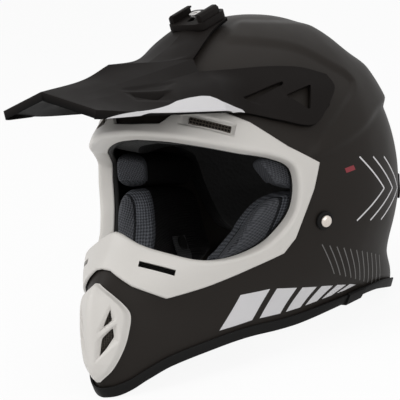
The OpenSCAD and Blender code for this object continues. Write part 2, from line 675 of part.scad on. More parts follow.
module peak() {
    shell_low = function (angle) waist_h;
    color(charcoal) stand() difference() {
        one_mesh() difference() {
            union() {
                peak_sheet();
                difference() {
                    pair() stud_bore(boss_d, -3, 3.2);
                    cup(cup_grid(0.9, shell_low, 14), cup_grid(-20, shell_low, 14));
                }
            }
            on_shell(0, screw_z) linear_extrude(2 * arm_off + 10, center = true)
                slot(screw_d + 0.8, tilt_slot);
            pair() translate([0, front_y, 0]) linear_extrude(2 * crown_h) polygon(blade_slot);
            pair() on_shell(58, 231) linear_extrude(4 * arm_off, center = true) polygon(arm_window);
            pair() on_shell(43, 237) linear_extrude(4 * arm_off, center = true) polygon(arm_slot);
        }
        pair() stud_bore(stud_d + 2 * fit, -10, 4.4);
    }
}

module camera_mount() {
    color(charcoal) stand() on_shell(0, screw_z) translate([0, 0, arm_off + mount_seat]) difference() {
        union() {
            linear_extrude(mount_base_t) rounded(mount_w, mount_l, mount_r);
            for (side = [0, 1]) mirror([side, 0, 0]) translate([0, rail_back, 0]) rotate([90, 0, 0])
                linear_extrude(rail_l, center = true)
                polygon([[slide_w / 2, 1], [mount_w / 2 - 1, 1], [mount_w / 2 - 1, rail_top - 2],
                    [mount_w / 2 - 3, rail_top], [slide_w / 2 - rail_lip, rail_top],
                    [slide_w / 2 - rail_lip, rail_top - rail_lip], [slide_w / 2, rail_top - rail_lip]]);
        }
        translate([0, 0, -1]) linear_extrude(mount_base_t + 2) slot(screw_d + 0.8, tilt_slot);
    }
}

module peak_screw() {
    under_head = arm_off + mount_seat + mount_base_t + tilt_clear;
    low = -shell_wall - form_seat - nut_t - 1;
    color(steel) stand() on_shell(0, screw_z) difference() {
        union() {
            translate([0, 0, under_head]) cylinder(d = screw_head_d, h = screw_head_t, $fn = 48);
            translate([0, 0, low]) cylinder(d = screw_d, h = under_head - low + 1, $fn = 48);
        }
        translate([0, 0, under_head + screw_head_t - 1.2]) cylinder(d = screw_d, h = 3, $fn = 6);
    }
}

module peak_nut() {
    color(steel) stand() on_shell(0, screw_z) translate([0, 0, -shell_wall - form_seat - nut_t])
    difference() {
        cylinder(d = nut_d, h = nut_t, $fn = 48);
        translate([0, 0, -1]) cylinder(d = screw_d + 2 * fit, h = nut_t + 2, $fn = 48);
    }
}

module peak_studs() {
    color(black_rubber) stand() pair() {
        stud_bore(stud_d, stud_in, 4.1);
        stud_bore(stud_head_d, stud_in, stud_in + stud_head_t);
    }
}

// Foam and padding

module impact_liner() {
    low = function (angle) spline(foam_edge, fold(angle));
    color("#2b2b2d") stand() difference() {
        cup(foam_grid(foam_off, low, 15, 40), foam_grid(foam_in, low, 15, 40));
        on_shell(0, screw_z) translate([0, 0, -shell_wall - nut_t - 4])
            cylinder(d = nut_d + 2, h = nut_t + 6, $fn = 32);
        pair() stud_bore(stud_head_d + 2, stud_in - 1.5, 2);
    }
}

module chin_foam() {
    n = 16;
    color("#2b2b2d") stand() one_mesh() difference() {
        loft([for (i = [0:n])
            let (a = mix(-chin_foam_span, chin_foam_span, i / n), low = rim_z(a) + chin_foam_lift,
                high = spline(chin_foam_edge, abs(a)), mid = (low + high) / 2,
                inner = chin_foam_off + chin_foam_t)
            [inside(a, low, inner), inside(a, mid, inner), inside(a, high, inner),
                inside(a, high, chin_foam_off), inside(a, mid, chin_foam_off),
                inside(a, low, chin_foam_off)]],
            caps = [[0, 1, 4], [1, 2, 3], [1, 3, 4], [0, 4, 5]]);
        mouth_prism(2);
    }
}

// Padding in the crown, with radial channels on its face
module crown_pad() {
    n = 5;
    c = 40;
    low = function (angle) crown_pad_low;
    face = [for (i = [0:n]) [for (j = [0:c - 1])
        let (angle = 360 * j / c, s = mix(arc_of(crown_pad_low), arc_per_deg * cap_lat, i / n),
            edge = ramp(i / 2 + 0.25), groove = pow(abs(cos(angle * crown_pad_channels / 2)), 8),
            dent = channel_depth * groove * (1 - i / n))
        plain(angle, s) - (pad_off + max(2, pad_t * edge - dent)) * plain_outward(angle, s)]];
    color(grey_cloth) stand() cup(foam_grid(pad_off, low, n, c), face);
}

// Cushion on the inside of the shell with rounded ends, full sides and one channel across its face
module cushion(front, heights, off, t) {
    n = 14;
    k = 16;
    mid = (heights[0] + heights[1]) / 2;
    half = (heights[1] - heights[0]) / 2;
    round_off = function (x) sign(x) * pow(abs(x), 0.6);
    stand() loft([for (i = [0:n])
        let (u = 2 * i / n - 1, end = pow(1 - 0.96 * pow(abs(u), 4), 0.4))
        [for (j = [0:k - 1])
            let (th = -360 * (j + 0.5) / k, y = round_off(sin(th)), x = round_off(cos(th)),
                dent = x < -0.9 && abs(y) < 0.5 ? channel_depth * end : 0, z = mid + half * end * y)
            inside(mix(spline(front, z), pad_rear, i / n), z,
                off + t / 2 - t / 2 * x * mix(0.6, 1, end) - dent)]],
        caps = fan(k));
}
module side_cushion() { color(grey_cloth) cushion(side_front, side_heights, side_off, side_t); }
module cheek_cushion() { color(grey_cloth) cushion(cheek_front, cheek_heights, cheek_off, cheek_t); }
module side_pad_left() { side_cushion(); }
module side_pad_right() { mirror([1, 0, 0]) side_cushion(); }
module cheek_pad_left() { cheek_cushion(); }
module cheek_pad_right() { mirror([1, 0, 0]) cheek_cushion(); }

module pad_snaps() {
    color(black_rubber) stand() pair() for (place = snap_places)
        on_shell(place[0], place[1]) translate([0, 0, seat - cheek_off])
            cylinder(d = snap_d, h = cheek_off - shell_wall - form_seat - seat, $fn = 32);
}

module neck_roll() {
    n = 24;
    k = 12;
    color(grey_cloth) stand() loft([for (i = [0:n])
        let (t = i / n, a = mix(roll_span[0], roll_span[1], t),
            r = roll_r * pow(1 - 0.95 * pow(abs(2 * t - 1), 6), 0.4))
        [for (j = [0:k - 1]) inside(a, roll_z - r * sin(360 * j / k), roll_off - r * cos(360 * j / k))]],
        caps = fan(k));
}

// Strap

// Section of the webbing at one place of a route
function strap_section(place) =
    let (s = arc_of(place[1]), c = form(rivet_angle, s) - place[0] * outward(rivet_angle, s))
    [c, across(rivet_angle, s)];
module webbing(route) {
    n = 3 * (len(route) - 1);
    path = [for (i = [0:n]) strap_section(chain(route, i / 3))];
    loft([for (i = [0:n])
        let (c = path[i][0], run = unit(path[min(n, i + 1)][0] - path[max(0, i - 1)][0]),
            w = path[i][1] * strap_w / 2, t = unit(cross(w, run)) * strap_t / 2)
        [c - w + t, c + w + t, c + w - t, c - w - t]], caps = fan(4));
}
module rivet_hole() {
    on_shell(rivet_angle, rivet_z) translate([0, 0, -30]) cylinder(d = rivet_d + 2 * fit, h = 30, $fn = 48);
}

// Places its children at the strap's end: x along the bars, y straight up when the helmet stands
module at_rings() {
    e = strap_section(short_route[len(short_route) - 1]);
    w = e[1];
    plumb = [0, -sin(stand_tilt), cos(stand_tilt)];
    v = unit(plumb - w * (plumb * w));
    q = cross(w, v);
    p = e[0] - v * loop_h / 2;
    multmatrix([[w.x, v.x, q.x, p.x], [w.y, v.y, q.y, p.y], [w.z, v.z, q.z, p.z], [0, 0, 0, 1]]) children();
}

module strap_left() {
    color("#1d1d1f") stand() difference() {
        union() {
            webbing(short_route);
            at_rings() cube([strap_w, loop_h, ring_pitch + loop_h], center = true);
        }
        rivet_hole();
        at_rings() for (side = [-1, 1]) translate([-strap_w, 0, side * ring_pitch / 2]) rotate([0, 90, 0])
            cylinder(d = ring_bar + 2 * fit, h = 2 * strap_w, $fn = 32);
    }
}

module strap_right() {
    color("#1d1d1f") stand() mirror([1, 0, 0]) difference() {
        webbing(long_route);
        rivet_hole();
    }
}

module strap_snap() {
    inner = cheek_off + cheek_t + 3.4 + strap_t / 2 + 0.3;
    color(black_rubber) stand() mirror([1, 0, 0]) on_shell(rivet_angle, snap_z)
        translate([0, 0, -inner - snap_cap_t]) cylinder(d = snap_cap_d, h = snap_cap_t, $fn = 32);
}

module ring(side) {
    color(steel) stand() at_rings() translate([0, 0, side * ring_pitch / 2]) {
        translate([-ring_half_w - ring_wire / 2, 0, 0]) rotate([0, 90, 0])
            cylinder(d = ring_bar, h = 2 * ring_half_w + ring_wire, $fn = 32);
        rotate([0, 0, 180]) rotate_extrude(angle = 180, $fn = 48)
            translate([ring_half_w, 0]) circle(d = ring_wire, $fn = 24);
    }
}
module ring_outer() { ring(1); }
module ring_inner() { ring(-1); }

module anchor_plates() {
    color(steel) stand() pair() on_shell(rivet_angle, rivet_z) translate([0, 0, -plate_off - plate_t])
        difference() {
            linear_extrude(plate_t) rounded(strap_w - 4, 16, 3);
            translate([0, 0, -1]) cylinder(d = rivet_d + 2 * fit, h = plate_t + 2, $fn = 48);
        }
}

module strap_rivets() {
    tail = strap_off + strap_t / 2 + 0.3;
    head = seat + washer_t + 0.1;
    color(steel) stand() pair() on_shell(rivet_angle, rivet_z) {
        translate([0, 0, -tail - 1.2]) cylinder(d = rivet_d + 3.5, h = 1.2, $fn = 48);
        translate([0, 0, -tail - 0.6]) cylinder(d = rivet_d, h = tail + head + 1, $fn = 48);
        translate([0, 0, head]) rotate_extrude($fn = 48)
            polygon([[0, 0], [rivet_head_d / 2, 0], [rivet_head_d / 2, 0.8], [rivet_head_d / 2 - 0.7, 1.8],
                [rivet_head_d / 4, rivet_head_h - 0.3], [0, rivet_head_h]]);
    }
}

module rivet_washers() {
    color(black_rubber) stand() pair() on_shell(rivet_angle, rivet_z) translate([0, 0, seat]) difference() {
        rotate_extrude($fn = 48)
            polygon([[0, 0], [washer_d / 2, 0], [washer_d / 2, 1],
                [washer_d / 2 - 1.5, washer_t], [0, washer_t]]);
        translate([0, 0, -1]) cylinder(d = rivet_d + 2 * fit, h = washer_t + 2, $fn = 48);
    }
}

outer_shell();
front_fascia();
eyeport_seal();
mouth_vent();
mouth_vent_mesh();
brow_vent_meshes();
chin_slot_meshes();
rear_vent_left();
rear_vent_right();
rim_trim();
neck_trim();
peak();
camera_mount();
peak_screw();
peak_nut();
peak_studs();
impact_liner();
chin_foam();
crown_pad();
side_pad_left();
side_pad_right();
cheek_pad_left();
cheek_pad_right();
pad_snaps();
neck_roll();
strap_left();
strap_right();
strap_snap();
ring_outer();
ring_inner();
anchor_plates();
strap_rivets();
rivet_washers();
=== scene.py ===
"""Off-road helmet with a tilting peak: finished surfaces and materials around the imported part.

Every shape is worked out level, as the helmet is worn, in millimetres: the face looks along -Y,
the wearer's left is +X and the crown axis is x = y = 0. It is then tipped back to stand on chin and
nape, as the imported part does. Places on the shell are an angle round the crown axis, 0 at the face,
and a height.
"""
import math

import bmesh
import bpy
import numpy as np
from mathutils import Matrix, Vector


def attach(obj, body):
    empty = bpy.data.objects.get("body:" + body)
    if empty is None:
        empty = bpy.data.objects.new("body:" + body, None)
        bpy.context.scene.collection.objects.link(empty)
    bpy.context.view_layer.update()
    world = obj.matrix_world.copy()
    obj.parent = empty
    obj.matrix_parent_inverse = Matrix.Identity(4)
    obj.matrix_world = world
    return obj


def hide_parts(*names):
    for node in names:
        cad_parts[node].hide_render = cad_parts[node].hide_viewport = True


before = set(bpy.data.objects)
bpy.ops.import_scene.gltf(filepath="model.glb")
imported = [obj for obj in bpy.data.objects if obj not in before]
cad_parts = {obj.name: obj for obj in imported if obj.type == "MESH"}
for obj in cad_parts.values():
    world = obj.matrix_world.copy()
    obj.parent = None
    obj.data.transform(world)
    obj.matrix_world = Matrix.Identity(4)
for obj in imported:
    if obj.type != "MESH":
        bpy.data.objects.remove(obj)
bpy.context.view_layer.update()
scene = bpy.context.scene
scene.view_settings.view_transform = "Standard"

# Driving sizes, as in the part's source
CROWN_H = 302.0
WAIST_H = 165.0
SHELL_W = 240.0
CHIN_REACH = 196.0
REAR_REACH = 106.0
SHELL_WALL = 4.0
CROWN_STEP = 2.5
REAR_STEP = 5.0
CHIN_LOW = 4.5
RIM_RISE = 74.5
RIM_ARCH = 20.0
TRIM_H = 8.0
TRIM_WALL = 1.8
TRIM_SOLE = 3.0
TRIM_SLEEVE = 101.0
FRAME_PROUD = 5.0
DUCT_PROUD = 3.0
SHELF_DEPTH = 2.6
LIP_DEPTH = 8.0
LIP_WALL = 2.2
SEAL_SIZE = 4.0
VENT_HALF_W = 21.5
VENT_PROUD = 6.0
VENT_EDGE = 2.2
DISH_DEPTH = 3.2
BLADE_L = 107.0
BLADE_W = 93.0
BLADE_GABLE = 13.5
BLADE_SWEEP = 9.0
PEAK_WALL = 3.0
PEAK_GAP = 3.0
CHIN_FOAM_T = 17.0
FOAM_T = 26.0
PAD_T = 9.0
CHEEK_T = 32.0
SIDE_T = 26.0
ROLL_R = 10.5
STRAP_W = 24.0
STRAP_T = 1.8
SEAT = 0.4
FORM_SEAT = 1.1
ARC_PER_DEG = 2.2
STEP_FADE = 7.0

# Profiles of the shell: a height and an inset from the reach or the half width
CHIN_INSET = [(0, 16), (15, 6), (45, 0), (72, 0), (95, 7), (127, 27), (165, 37), (203, 27)]
REAR_INSET = [(60, 0), (80, -2), (95, 1), (111, 8), (140, 3), (165, 0), (190, 3)]
SIDE_INSET = [(0, 49), (36, 37), (55, 34), (70, 31), (90, 20), (111, 12), (140, 3), (165, 0), (190, 3)]
FRONT_POWER = [(0, 1.55), (75, 1.5), (127, 1.6), (165, 1.68)]
REAR_POWER = [(60, 3), (80, 3), (111, 2.3), (165, 2.15)]
STEP_EDGE = [(0, 178), (50, 178), (61, 185), (71, 193), (82, 203), (99, 221), (108, 226), (120, 229),
             (140, 231), (180, 232)]
POCKET_LOW = [(0, 180), (55, 186), (62, 199), (78, 226), (88, 240), (96, 262)]
POCKET_HIGH = [(0, 279), (30, 276), (64, 270), (84, 254), (88, 250), (96, 232)]
ARCH_SHARE = [(0, 0), (3, 0.03), (6, 0.2), (9, 0.46), (14, 0.77), (24, 0.96), (34, 1), (48, 0.87), (60, 0.82),
              (90, 0.88), (112, 0.87), (130, 0.45), (148, 0), (180, 0)]

# Eyeport frame from brow to chin: outer edge, inner edge and share of the duct's extra height
FRAME_OUTER = [(0, 210.6), (8.4, 211), (12.8, 220.5), (25, 221.5), (36, 212), (49.5, 194), (62, 181.5),
               (59.5, 161), (57, 147), (53, 124), (48.5, 112.5), (37, 102), (23, 88), (13.6, 79.5),
               (7, 88.5), (2, 99.5), (0, 100.5)]
FRAME_INNER = [(0, 201.5), (9, 200), (15, 198), (24, 194.2), (33, 190), (43.5, 186), (51, 179), (53, 164),
               (52, 146), (48, 132), (41, 118.5), (31, 109.5), (21.5, 108), (13, 113.5), (7, 119), (2, 126.5),
               (0, 128.5)]
DUCT_SHARE = [0.2, 0.3, 0.9, 1, 1, 0.5] + [0] * 11
# Windows: angle, height, turn, length and width
BROW_WINDOW = (23.2, 209.4, -14, 33, 5.6)
CHIN_WINDOW = (11.6, 101.6, -15, 28.5, 4.6)
VENT_OUTLINE = [(17, 0.08), (26, 0.48), (41, 0.81), (56, 0.97), (68, 1), (75, 0.85), (82, 0.55), (90, 0.08)]
VENT_WINDOWS = [[(7, 58.5), (11, 72), (12, 63.5)], [(4, 36.5), (6, 50), (12.5, 58), (13, 51)]]
VENT_DISH = [(1, 31), (3.5, 56), (11, 77), (15.5, 63), (16, 48)]
# Bar between the windows: across, height and slope
VENT_BAR = (9.3, 57.5, 1.1)
MOUTH = (14.5, 38, 70)
# Exhaust scoops: angles, heights and how far they stand out
SCOOP = ((120, 152), (152, 172))
SCOOP_PROUD = 4
# Places on the shell of the strap rivets, the side studs and the top screw
RIVET = (65.3, 137)
STUD = (66, 232)
STUD_D = 6.0
SCREW_D = 5.0
SCREW_Z = 287.6
TILT_SLOT = 7.55
SLOT_PLAY = 0.8
MOUNT_W = 35.0
MOUNT_L = 36.0
MOUNT_R = 6.0
MOUNT_SEAT = 0.8
MOUNT_BASE = 3.0
SLIDE_W = 24.0
SLIDE_H = 5.0
RAIL_LIP = 1.5
RAIL_L = 24.0
RAIL_BACK = -2.0
PLATE_T = 1.5
STRAP_OFF = SHELL_WALL + FORM_SEAT + PLATE_T + SEAT + STRAP_T / 2
CHEEK_OFF = STRAP_OFF + STRAP_T / 2 + 4.4
LINING_OFF = SHELL_WALL + FORM_SEAT + 0.3
RING_PITCH = 5.2
RING_BAR = 3.0
LOOP_H = 7.0
# Strap routes: depth inside the shell and height; the long one ends on the face of its cheek pad
PAD_FACE = CHEEK_OFF + CHEEK_T + 3.4
SHORT_ROUTE = [(STRAP_OFF, 148), (STRAP_OFF, 126), (STRAP_OFF, 104), (STRAP_OFF, 90), (STRAP_OFF + 5, 79),
               (STRAP_OFF + 14, 73)]
LONG_ROUTE = [(STRAP_OFF, 148), (STRAP_OFF, 126), (STRAP_OFF, 104), (STRAP_OFF, 88), (STRAP_OFF + 2, 78),
              (STRAP_OFF + 9, 72.5), (STRAP_OFF + 20, 71), (STRAP_OFF + 31, 72), (PAD_FACE - 1, 80),
              (PAD_FACE, 92), (PAD_FACE, 106)]
# Cheek and side pads: front edge as height and angle, and lowest and highest point
CHEEK_FRONT = [(77, 31), (98, 31), (106, 29), (118, 35), (134, 39), (150, 44), (158, 50)]
CHEEK_HEIGHTS = (77, 158)
SIDE_FRONT = [(160, 49), (172, 46), (185, 42), (192, 42)]
SIDE_HEIGHTS = (158.5, 193)
# Angles where the pads end and, on the whole, begin, and the radius that makes lengths of them
PAD_REAR = 104
PAD_START = 42
PAD_RADIUS = 110
# Depth of the cheek pads' seam, and one past any pad for those without a seam
CHEEK_SEAM = 16.0
NO_SEAM = 4000.0
# Lower edges of the foam and of the crown pad, and the chin foam's top, by angle
FOAM_EDGE = [(0, 208), (30, 200), (42, 195), (54, 194), (106, 194), (126, 124), (180, 122)]
CROWN_EDGE = [(0, 222), (180, 222)]
CHIN_FOAM_TOP = [(0, 116), (8, 109), (14, 102), (22, 98), (30, 98)]
# Neck roll: angles of its ends, height and length of its cloth
ROLL_SPAN = (118, 242, 100, 260)
# Place on the middle line, in y, that the chin foam grows towards
CHIN_FOAM_AIM = -20.0
# Sole of the camera slide: depth under the screw, and squares of the distances that deepen it by 1 mm
SOLE_MID = 0.9
SOLE_BEND = (153.0, 720.0)


# Small mathematics, on whole arrays

def sind(angle):
    return np.sin(np.radians(angle))


def cosd(angle):
    return np.cos(np.radians(angle))


def mix(a, b, t):
    return a + (b - a) * t


def ramp(x):
    t = np.clip(x, 0, 1)
    return t * t * (3 - 2 * t)


def fold(angle):
    """Angle from the face, the same on both sides."""
    a = np.mod(angle, 360)
    return np.where(a > 180, 360 - a, a)


def unit(v):
    return v / np.linalg.norm(v, axis=-1, keepdims=True)


def hermite(p, q, u, v, t):
    return ((2 * t**3 - 3 * t**2 + 1) * p + (t**3 - 2 * t**2 + t) * u
            + (3 * t**2 - 2 * t**3) * q + (t**3 - t**2) * v)


def spline(table, x):
    """Smooth curve through the rows of a table, level past its ends."""
    xs, ys = np.array(table, float).T
    k = np.arange(len(xs))
    low, high = np.maximum(k - 1, 0), np.minimum(k + 1, len(xs) - 1)
    slope = (ys[high] - ys[low]) / (xs[high] - xs[low])
    x = np.clip(x, xs[0], xs[-1])
    i = np.clip(np.searchsorted(xs, x, side="right") - 1, 0, len(xs) - 2)
    h = xs[i + 1] - xs[i]
    return hermite(ys[i], ys[i + 1], h * slope[i], h * slope[i + 1], (x - xs[i]) / h)


def chain(points, x, crease=-1):
    """Smooth curve through a list of points, with a corner at the index crease."""
    p = np.asarray(points, float)
    x = np.asarray(x, float)
    n = len(p) - 1
    i = np.clip(np.floor(x).astype(int), 0, n - 1)
    step = p[i + 1] - p[i]
    first = ((i == 0) | (i == crease))[..., None]
    last = ((i + 1 == n) | (i + 1 == crease))[..., None]
    u = np.where(first, step, (p[i + 1] - p[np.maximum(i - 1, 0)]) / 2)
    v = np.where(last, step, (p[np.minimum(i + 2, n)] - p[i]) / 2)
    return hermite(p[i], p[i + 1], u, v, (x - i)[..., None])


def straight(points, x):
    """Straight lines through a list of points."""
    p = np.asarray(points, float)
    i = np.clip(np.floor(x).astype(int), 0, len(p) - 2)
    t = x - i
    return mix(p[i], p[i + 1], t[..., None] if p.ndim > 1 else t)


def grid_normals(points):
    """Normals of an array of points."""
    du, dv = np.gradient(points, axis=0), np.gradient(points, axis=1)
    return unit(np.cross(du, dv))


def in_shape(outline, x, y, soft):
    """1 inside a convex outline, fading over soft to 0 at its edge."""
    p = np.asarray(outline, float)
    area = sum(a[0] * b[1] - a[1] * b[0] for a, b in zip(p, np.roll(p, -1, 0)))
    depth = np.full(np.shape(x), 1e9)
    for a, b in zip(p, np.roll(p, -1, 0)):
        n = np.array([-(b - a)[1], (b - a)[0]]) / np.linalg.norm(b - a) * np.sign(area)
        depth = np.minimum(depth, (x - a[0]) * n[0] + (y - a[1]) * n[1])
    return ramp(depth / soft)


# The form of the shell

def section(angle, z):
    """Radius of the plain form at an angle and a height below the waist."""
    c = cosd(angle)
    ahead = c >= 0
    w = SHELL_W / 2 - spline(SIDE_INSET, z)
    l = np.where(ahead, CHIN_REACH - spline(CHIN_INSET, z), REAR_REACH - spline(REAR_INSET, z))
    n = np.where(ahead, spline(FRONT_POWER, z), spline(REAR_POWER, z))
    return ((np.abs(sind(angle)) / w) ** n + (np.abs(c) / l) ** n) ** (-1 / n)


def lift(angle, z):
    """Height of the raised crown above the plain form."""
    a = fold(angle)
    pocket = (ramp((z - spline(POCKET_LOW, a)) / STEP_FADE + 0.5)
              * ramp((spline(POCKET_HIGH, a) - z) / STEP_FADE + 0.5))
    where = np.maximum(ramp((a - 56) / 8), ramp((a - 18) / 10) * ramp((z - 240) / 10))
    rear = ramp((a - 95) / 25)
    over = mix(ramp((CROWN_H - 5 - z) / 8), ramp((CROWN_H - 26 - z) / 22), rear)
    return (mix(CROWN_STEP, REAR_STEP, rear) * ramp((z - spline(STEP_EDGE, a)) / STEP_FADE + 0.5)
            * (1 - pocket) * where * over)


def arc_of(z):
    """Way up the form: millimetres from the waist, then arc length over the crown."""
    up = np.degrees(np.arcsin(np.clip((z - WAIST_H) / (CROWN_H - WAIST_H), 0, 1)))
    return np.where(z < WAIST_H, z - WAIST_H, ARC_PER_DEG * up)


def plain(angle, s):
    """Point of the smooth form at an angle and a way up."""
    z = np.where(s < 0, WAIST_H + s, WAIST_H + (CROWN_H - WAIST_H) * sind(s / ARC_PER_DEG))
    r = section(angle, np.minimum(z, WAIST_H)) * np.where(s < 0, 1, cosd(s / ARC_PER_DEG))
    return np.stack([r * sind(angle), -r * cosd(angle), z], -1)


def form(angle, s):
    """Point of the shell, with its raised crown."""
    p = plain(angle, s)
    up = np.maximum(0, p[..., 2] - WAIST_H) + 1
    return p + lift(angle, p[..., 2])[..., None] * unit(np.stack([p[..., 0], p[..., 1], up], -1))


def outward(shape, angle, s):
    """Normal of a form."""
    return unit(np.cross(shape(angle + 0.5, s) - shape(angle - 0.5, s),
                         shape(angle, s + 0.5) - shape(angle, s - 0.5)))


def on(angle, z, off=0.0):
    """Point at an angle and a height, off millimetres outside the shell."""
    angle, z, off = np.broadcast_arrays(np.asarray(angle, float), z, off)
    s = arc_of(z)
    return form(angle, s) + off[..., None] * outward(form, angle, s)


def inside(angle, z, deep=0.0):
    """Point deep millimetres inside the plain form."""
    angle, z, deep = np.broadcast_arrays(np.asarray(angle, float), z, deep)
    s = arc_of(z)
    return plain(angle, s) - deep[..., None] * outward(plain, angle, s)


CHIN_FOOT = float(section(0, CHIN_LOW))
NAPE_FOOT = float(section(180, CHIN_LOW + RIM_RISE))
STAND_TILT = math.atan(RIM_RISE / (CHIN_FOOT + NAPE_FOOT))
FOOT_Y = (NAPE_FOOT - CHIN_FOOT) / 2
FOOT_Z = CHIN_LOW + (FOOT_Y + CHIN_FOOT) * math.tan(STAND_TILT)
# The standing helmet's upward direction, seen level
PLUMB = np.array([0, -math.sin(STAND_TILT), math.cos(STAND_TILT)])


def rim_z(angle):
    """Height of the rim: the plane it stands on, arched at the sides."""
    arch = RIM_ARCH * np.maximum(0, spline(ARCH_SHARE, fold(angle)))
    z = np.full(np.shape(angle), 50.0)
    for _ in range(10):
        z = CHIN_LOW + (CHIN_FOOT - section(angle, z) * cosd(angle)) * math.tan(STAND_TILT) + arch
    return z


def tipped(v):
    """Level directions as they lie once the helmet stands."""
    c, s = math.cos(STAND_TILT), math.sin(STAND_TILT)
    return np.stack([v[..., 0], v[..., 1] * c + v[..., 2] * s, v[..., 2] * c - v[..., 1] * s], -1)


def stand(points):
    """From level millimetres to metres on the plane that the helmet rests on."""
    return tipped(np.asarray(points, float) - (0, FOOT_Y, FOOT_Z)) / 1000


def shell_axes(angle, z):
    """Place on the shell and its axes: round the head, up and outward."""
    s = arc_of(np.float64(z))
    w = outward(form, np.float64(angle), s)
    u = unit(form(angle + 0.5, s) - form(angle - 0.5, s))
    return form(np.float64(angle), s), u, np.cross(w, u), w


def window_axes(place):
    """Middle of a window and its axes: along, across and outward."""
    p, u, v, w = shell_axes(*place[:2])
    turn = math.radians(place[2])
    return p, u * math.cos(turn) + v * math.sin(turn), v * math.cos(turn) - u * math.sin(turn), w


# Bmesh helpers

def lattice(points, uv=None):
    """A grid with its corners at an array of level points, and their indices kept on them."""
    nu, nv = points.shape[0] - 1, points.shape[1] - 1
    bm = bmesh.new()
    bmesh.ops.create_grid(bm, x_segments=nu, y_segments=nv, size=0.5)
    column = bm.verts.layers.int.new("column")
    row = bm.verts.layers.int.new("row")
    places = stand(points)
    for v in bm.verts:
        v[column] = round((v.co.x + 0.5) * nu)
        v[row] = round((v.co.y + 0.5) * nv)
        v.co = places[v[column], v[row]]
    if uv is not None:
        layer = bm.loops.layers.uv.new("weave")
        for face in bm.faces:
            for loop in face.loops:
                loop[layer].uv = uv[loop.vert[column], loop.vert[row]]
    return bm


def thicken(bm, normals, depth):
    """Gives a lattice a wall, marked underneath: depth is in millimetres below each of its points."""
    # The under mark is where the peak's material paints shade on the wall's inner faces.
    under = close(bm).verts.layers.float.new("under")
    column, row = bm.verts.layers.int["column"], bm.verts.layers.int["row"]
    shift = tipped(normals) * np.broadcast_to(depth, normals.shape[:2])[..., None] / 1000
    made = bmesh.ops.extrude_face_region(bm, geom=bm.faces[:], use_keep_orig=True)
    for v in made["geom"]:
        if isinstance(v, bmesh.types.BMVert):
            v.co -= Vector(shift[v[column], v[row]])
            v[under] = 1.0
    return close(bm)


def close(bm, caps=False):
    """Merges seams and poles, fills open ends if asked and turns faces outward."""
    bmesh.ops.remove_doubles(bm, verts=bm.verts[:], dist=2e-6)
    bmesh.ops.dissolve_degenerate(bm, edges=bm.edges[:], dist=1e-7)
    if caps:
        bmesh.ops.holes_fill(bm, edges=[e for e in bm.edges if e.is_boundary], sides=0)
    bmesh.ops.recalc_face_normals(bm, faces=bm.faces[:])
    if all(e.is_manifold for e in bm.edges) and bm.calc_volume(signed=True) < 0:
        bmesh.ops.reverse_faces(bm, faces=bm.faces[:])
    return bm


def soften(bm, width, least=50, segments=2):
    """Rounds every edge that turns by more than least degrees."""
    sharp = [e for e in bm.edges if e.is_manifold and e.calc_face_angle(0) > math.radians(least)]
    bmesh.ops.bevel(bm, geom=sharp, offset=width / 1000, offset_type="OFFSET", segments=segments,
                    profile=0.5, affect="EDGES", clamp_overlap=True, material=-1)
    return bm


def plug(front, back, tips=None):
    """Closed cutter between two star-shaped outlines, with its ends drawn to their tips."""
    tips = (front.mean(0), back.mean(0)) if tips is None else tips
    ends = [np.repeat(np.asarray(tip, float)[None], len(front), 0) for tip in tips]
    ring = np.stack([ends[0], front, back, ends[1]], 1)
    return close(lattice(np.concatenate([ring, ring[:1]])))


def placed(axes, outline, off):
    """Points of a flat outline in the first two of some axes, off millimetres along the third."""
    p, u, v, w = axes
    flat = np.asarray(outline, float)
    return p + flat[..., :1] * u + flat[..., 1:2] * v + off * w


def prism(axes, outline, low, high, tip=None):
    """Closed solid over a flat outline that can all be seen from its tip."""
    tips = None if tip is None else [placed(axes, tip, off) for off in (high, low)]
    return plug(placed(axes, outline, high), placed(axes, outline, low), tips)


def window_plugs(grow=0.0):
    """Cutters of the brow and chin windows on both sides."""
    deep = 15.0
    plugs = []
    for place in (BROW_WINDOW, CHIN_WINDOW):
        corners = np.array([(-1, -1), (1, -1), (1, 1), (-1, 1)]) * (place[3] / 2 + grow, place[4] / 2 + grow)
        plugs.append(prism(window_axes(place), corners, -deep, deep))
    return [*plugs, *map(flip, plugs)]


def circle(radius, steps=40):
    """Outline of a round hole."""
    angle = np.linspace(0, 360, steps, endpoint=False)
    return radius * np.stack([cosd(angle), sind(angle)], -1)


def slot_outline(width, length, steps=20):
    """Round-ended slot from the origin down to -length."""
    half = np.linspace(0, 180, steps + 1)
    top = width / 2 * np.stack([cosd(half), sind(half)], -1)
    return np.concatenate([top, -top - (0, length)])


def turned(axes, profile, steps=56):
    """Solid turned round the third axis: its profile is a radius and a height."""
    p, u, v, w = axes
    r, h = np.array(profile, float).T
    angle = np.linspace(0, 360, steps + 1)[:, None, None]
    ring = r[None, :, None]
    return close(lattice(p + ring * cosd(angle) * u + ring * sind(angle) * v + h[None, :, None] * w))


def flip(bm):
    """Mirror image on the other side of the helmet."""
    other = bm.copy()
    bmesh.ops.transform(other, matrix=Matrix.Scale(-1, 4, (1, 0, 0)), verts=other.verts[:])
    bmesh.ops.recalc_face_normals(other, faces=other.faces[:])
    return other


def join(first, *others):
    """Takes other shapes into the first."""
    for other in others:
        mesh = bpy.data.meshes.new("part")
        other.to_mesh(mesh)
        first.from_mesh(mesh)
        bpy.data.meshes.remove(mesh)
        other.free()
    return first


def both(bm):
    """A shape and its mirror image in one."""
    return join(bm, flip(bm))


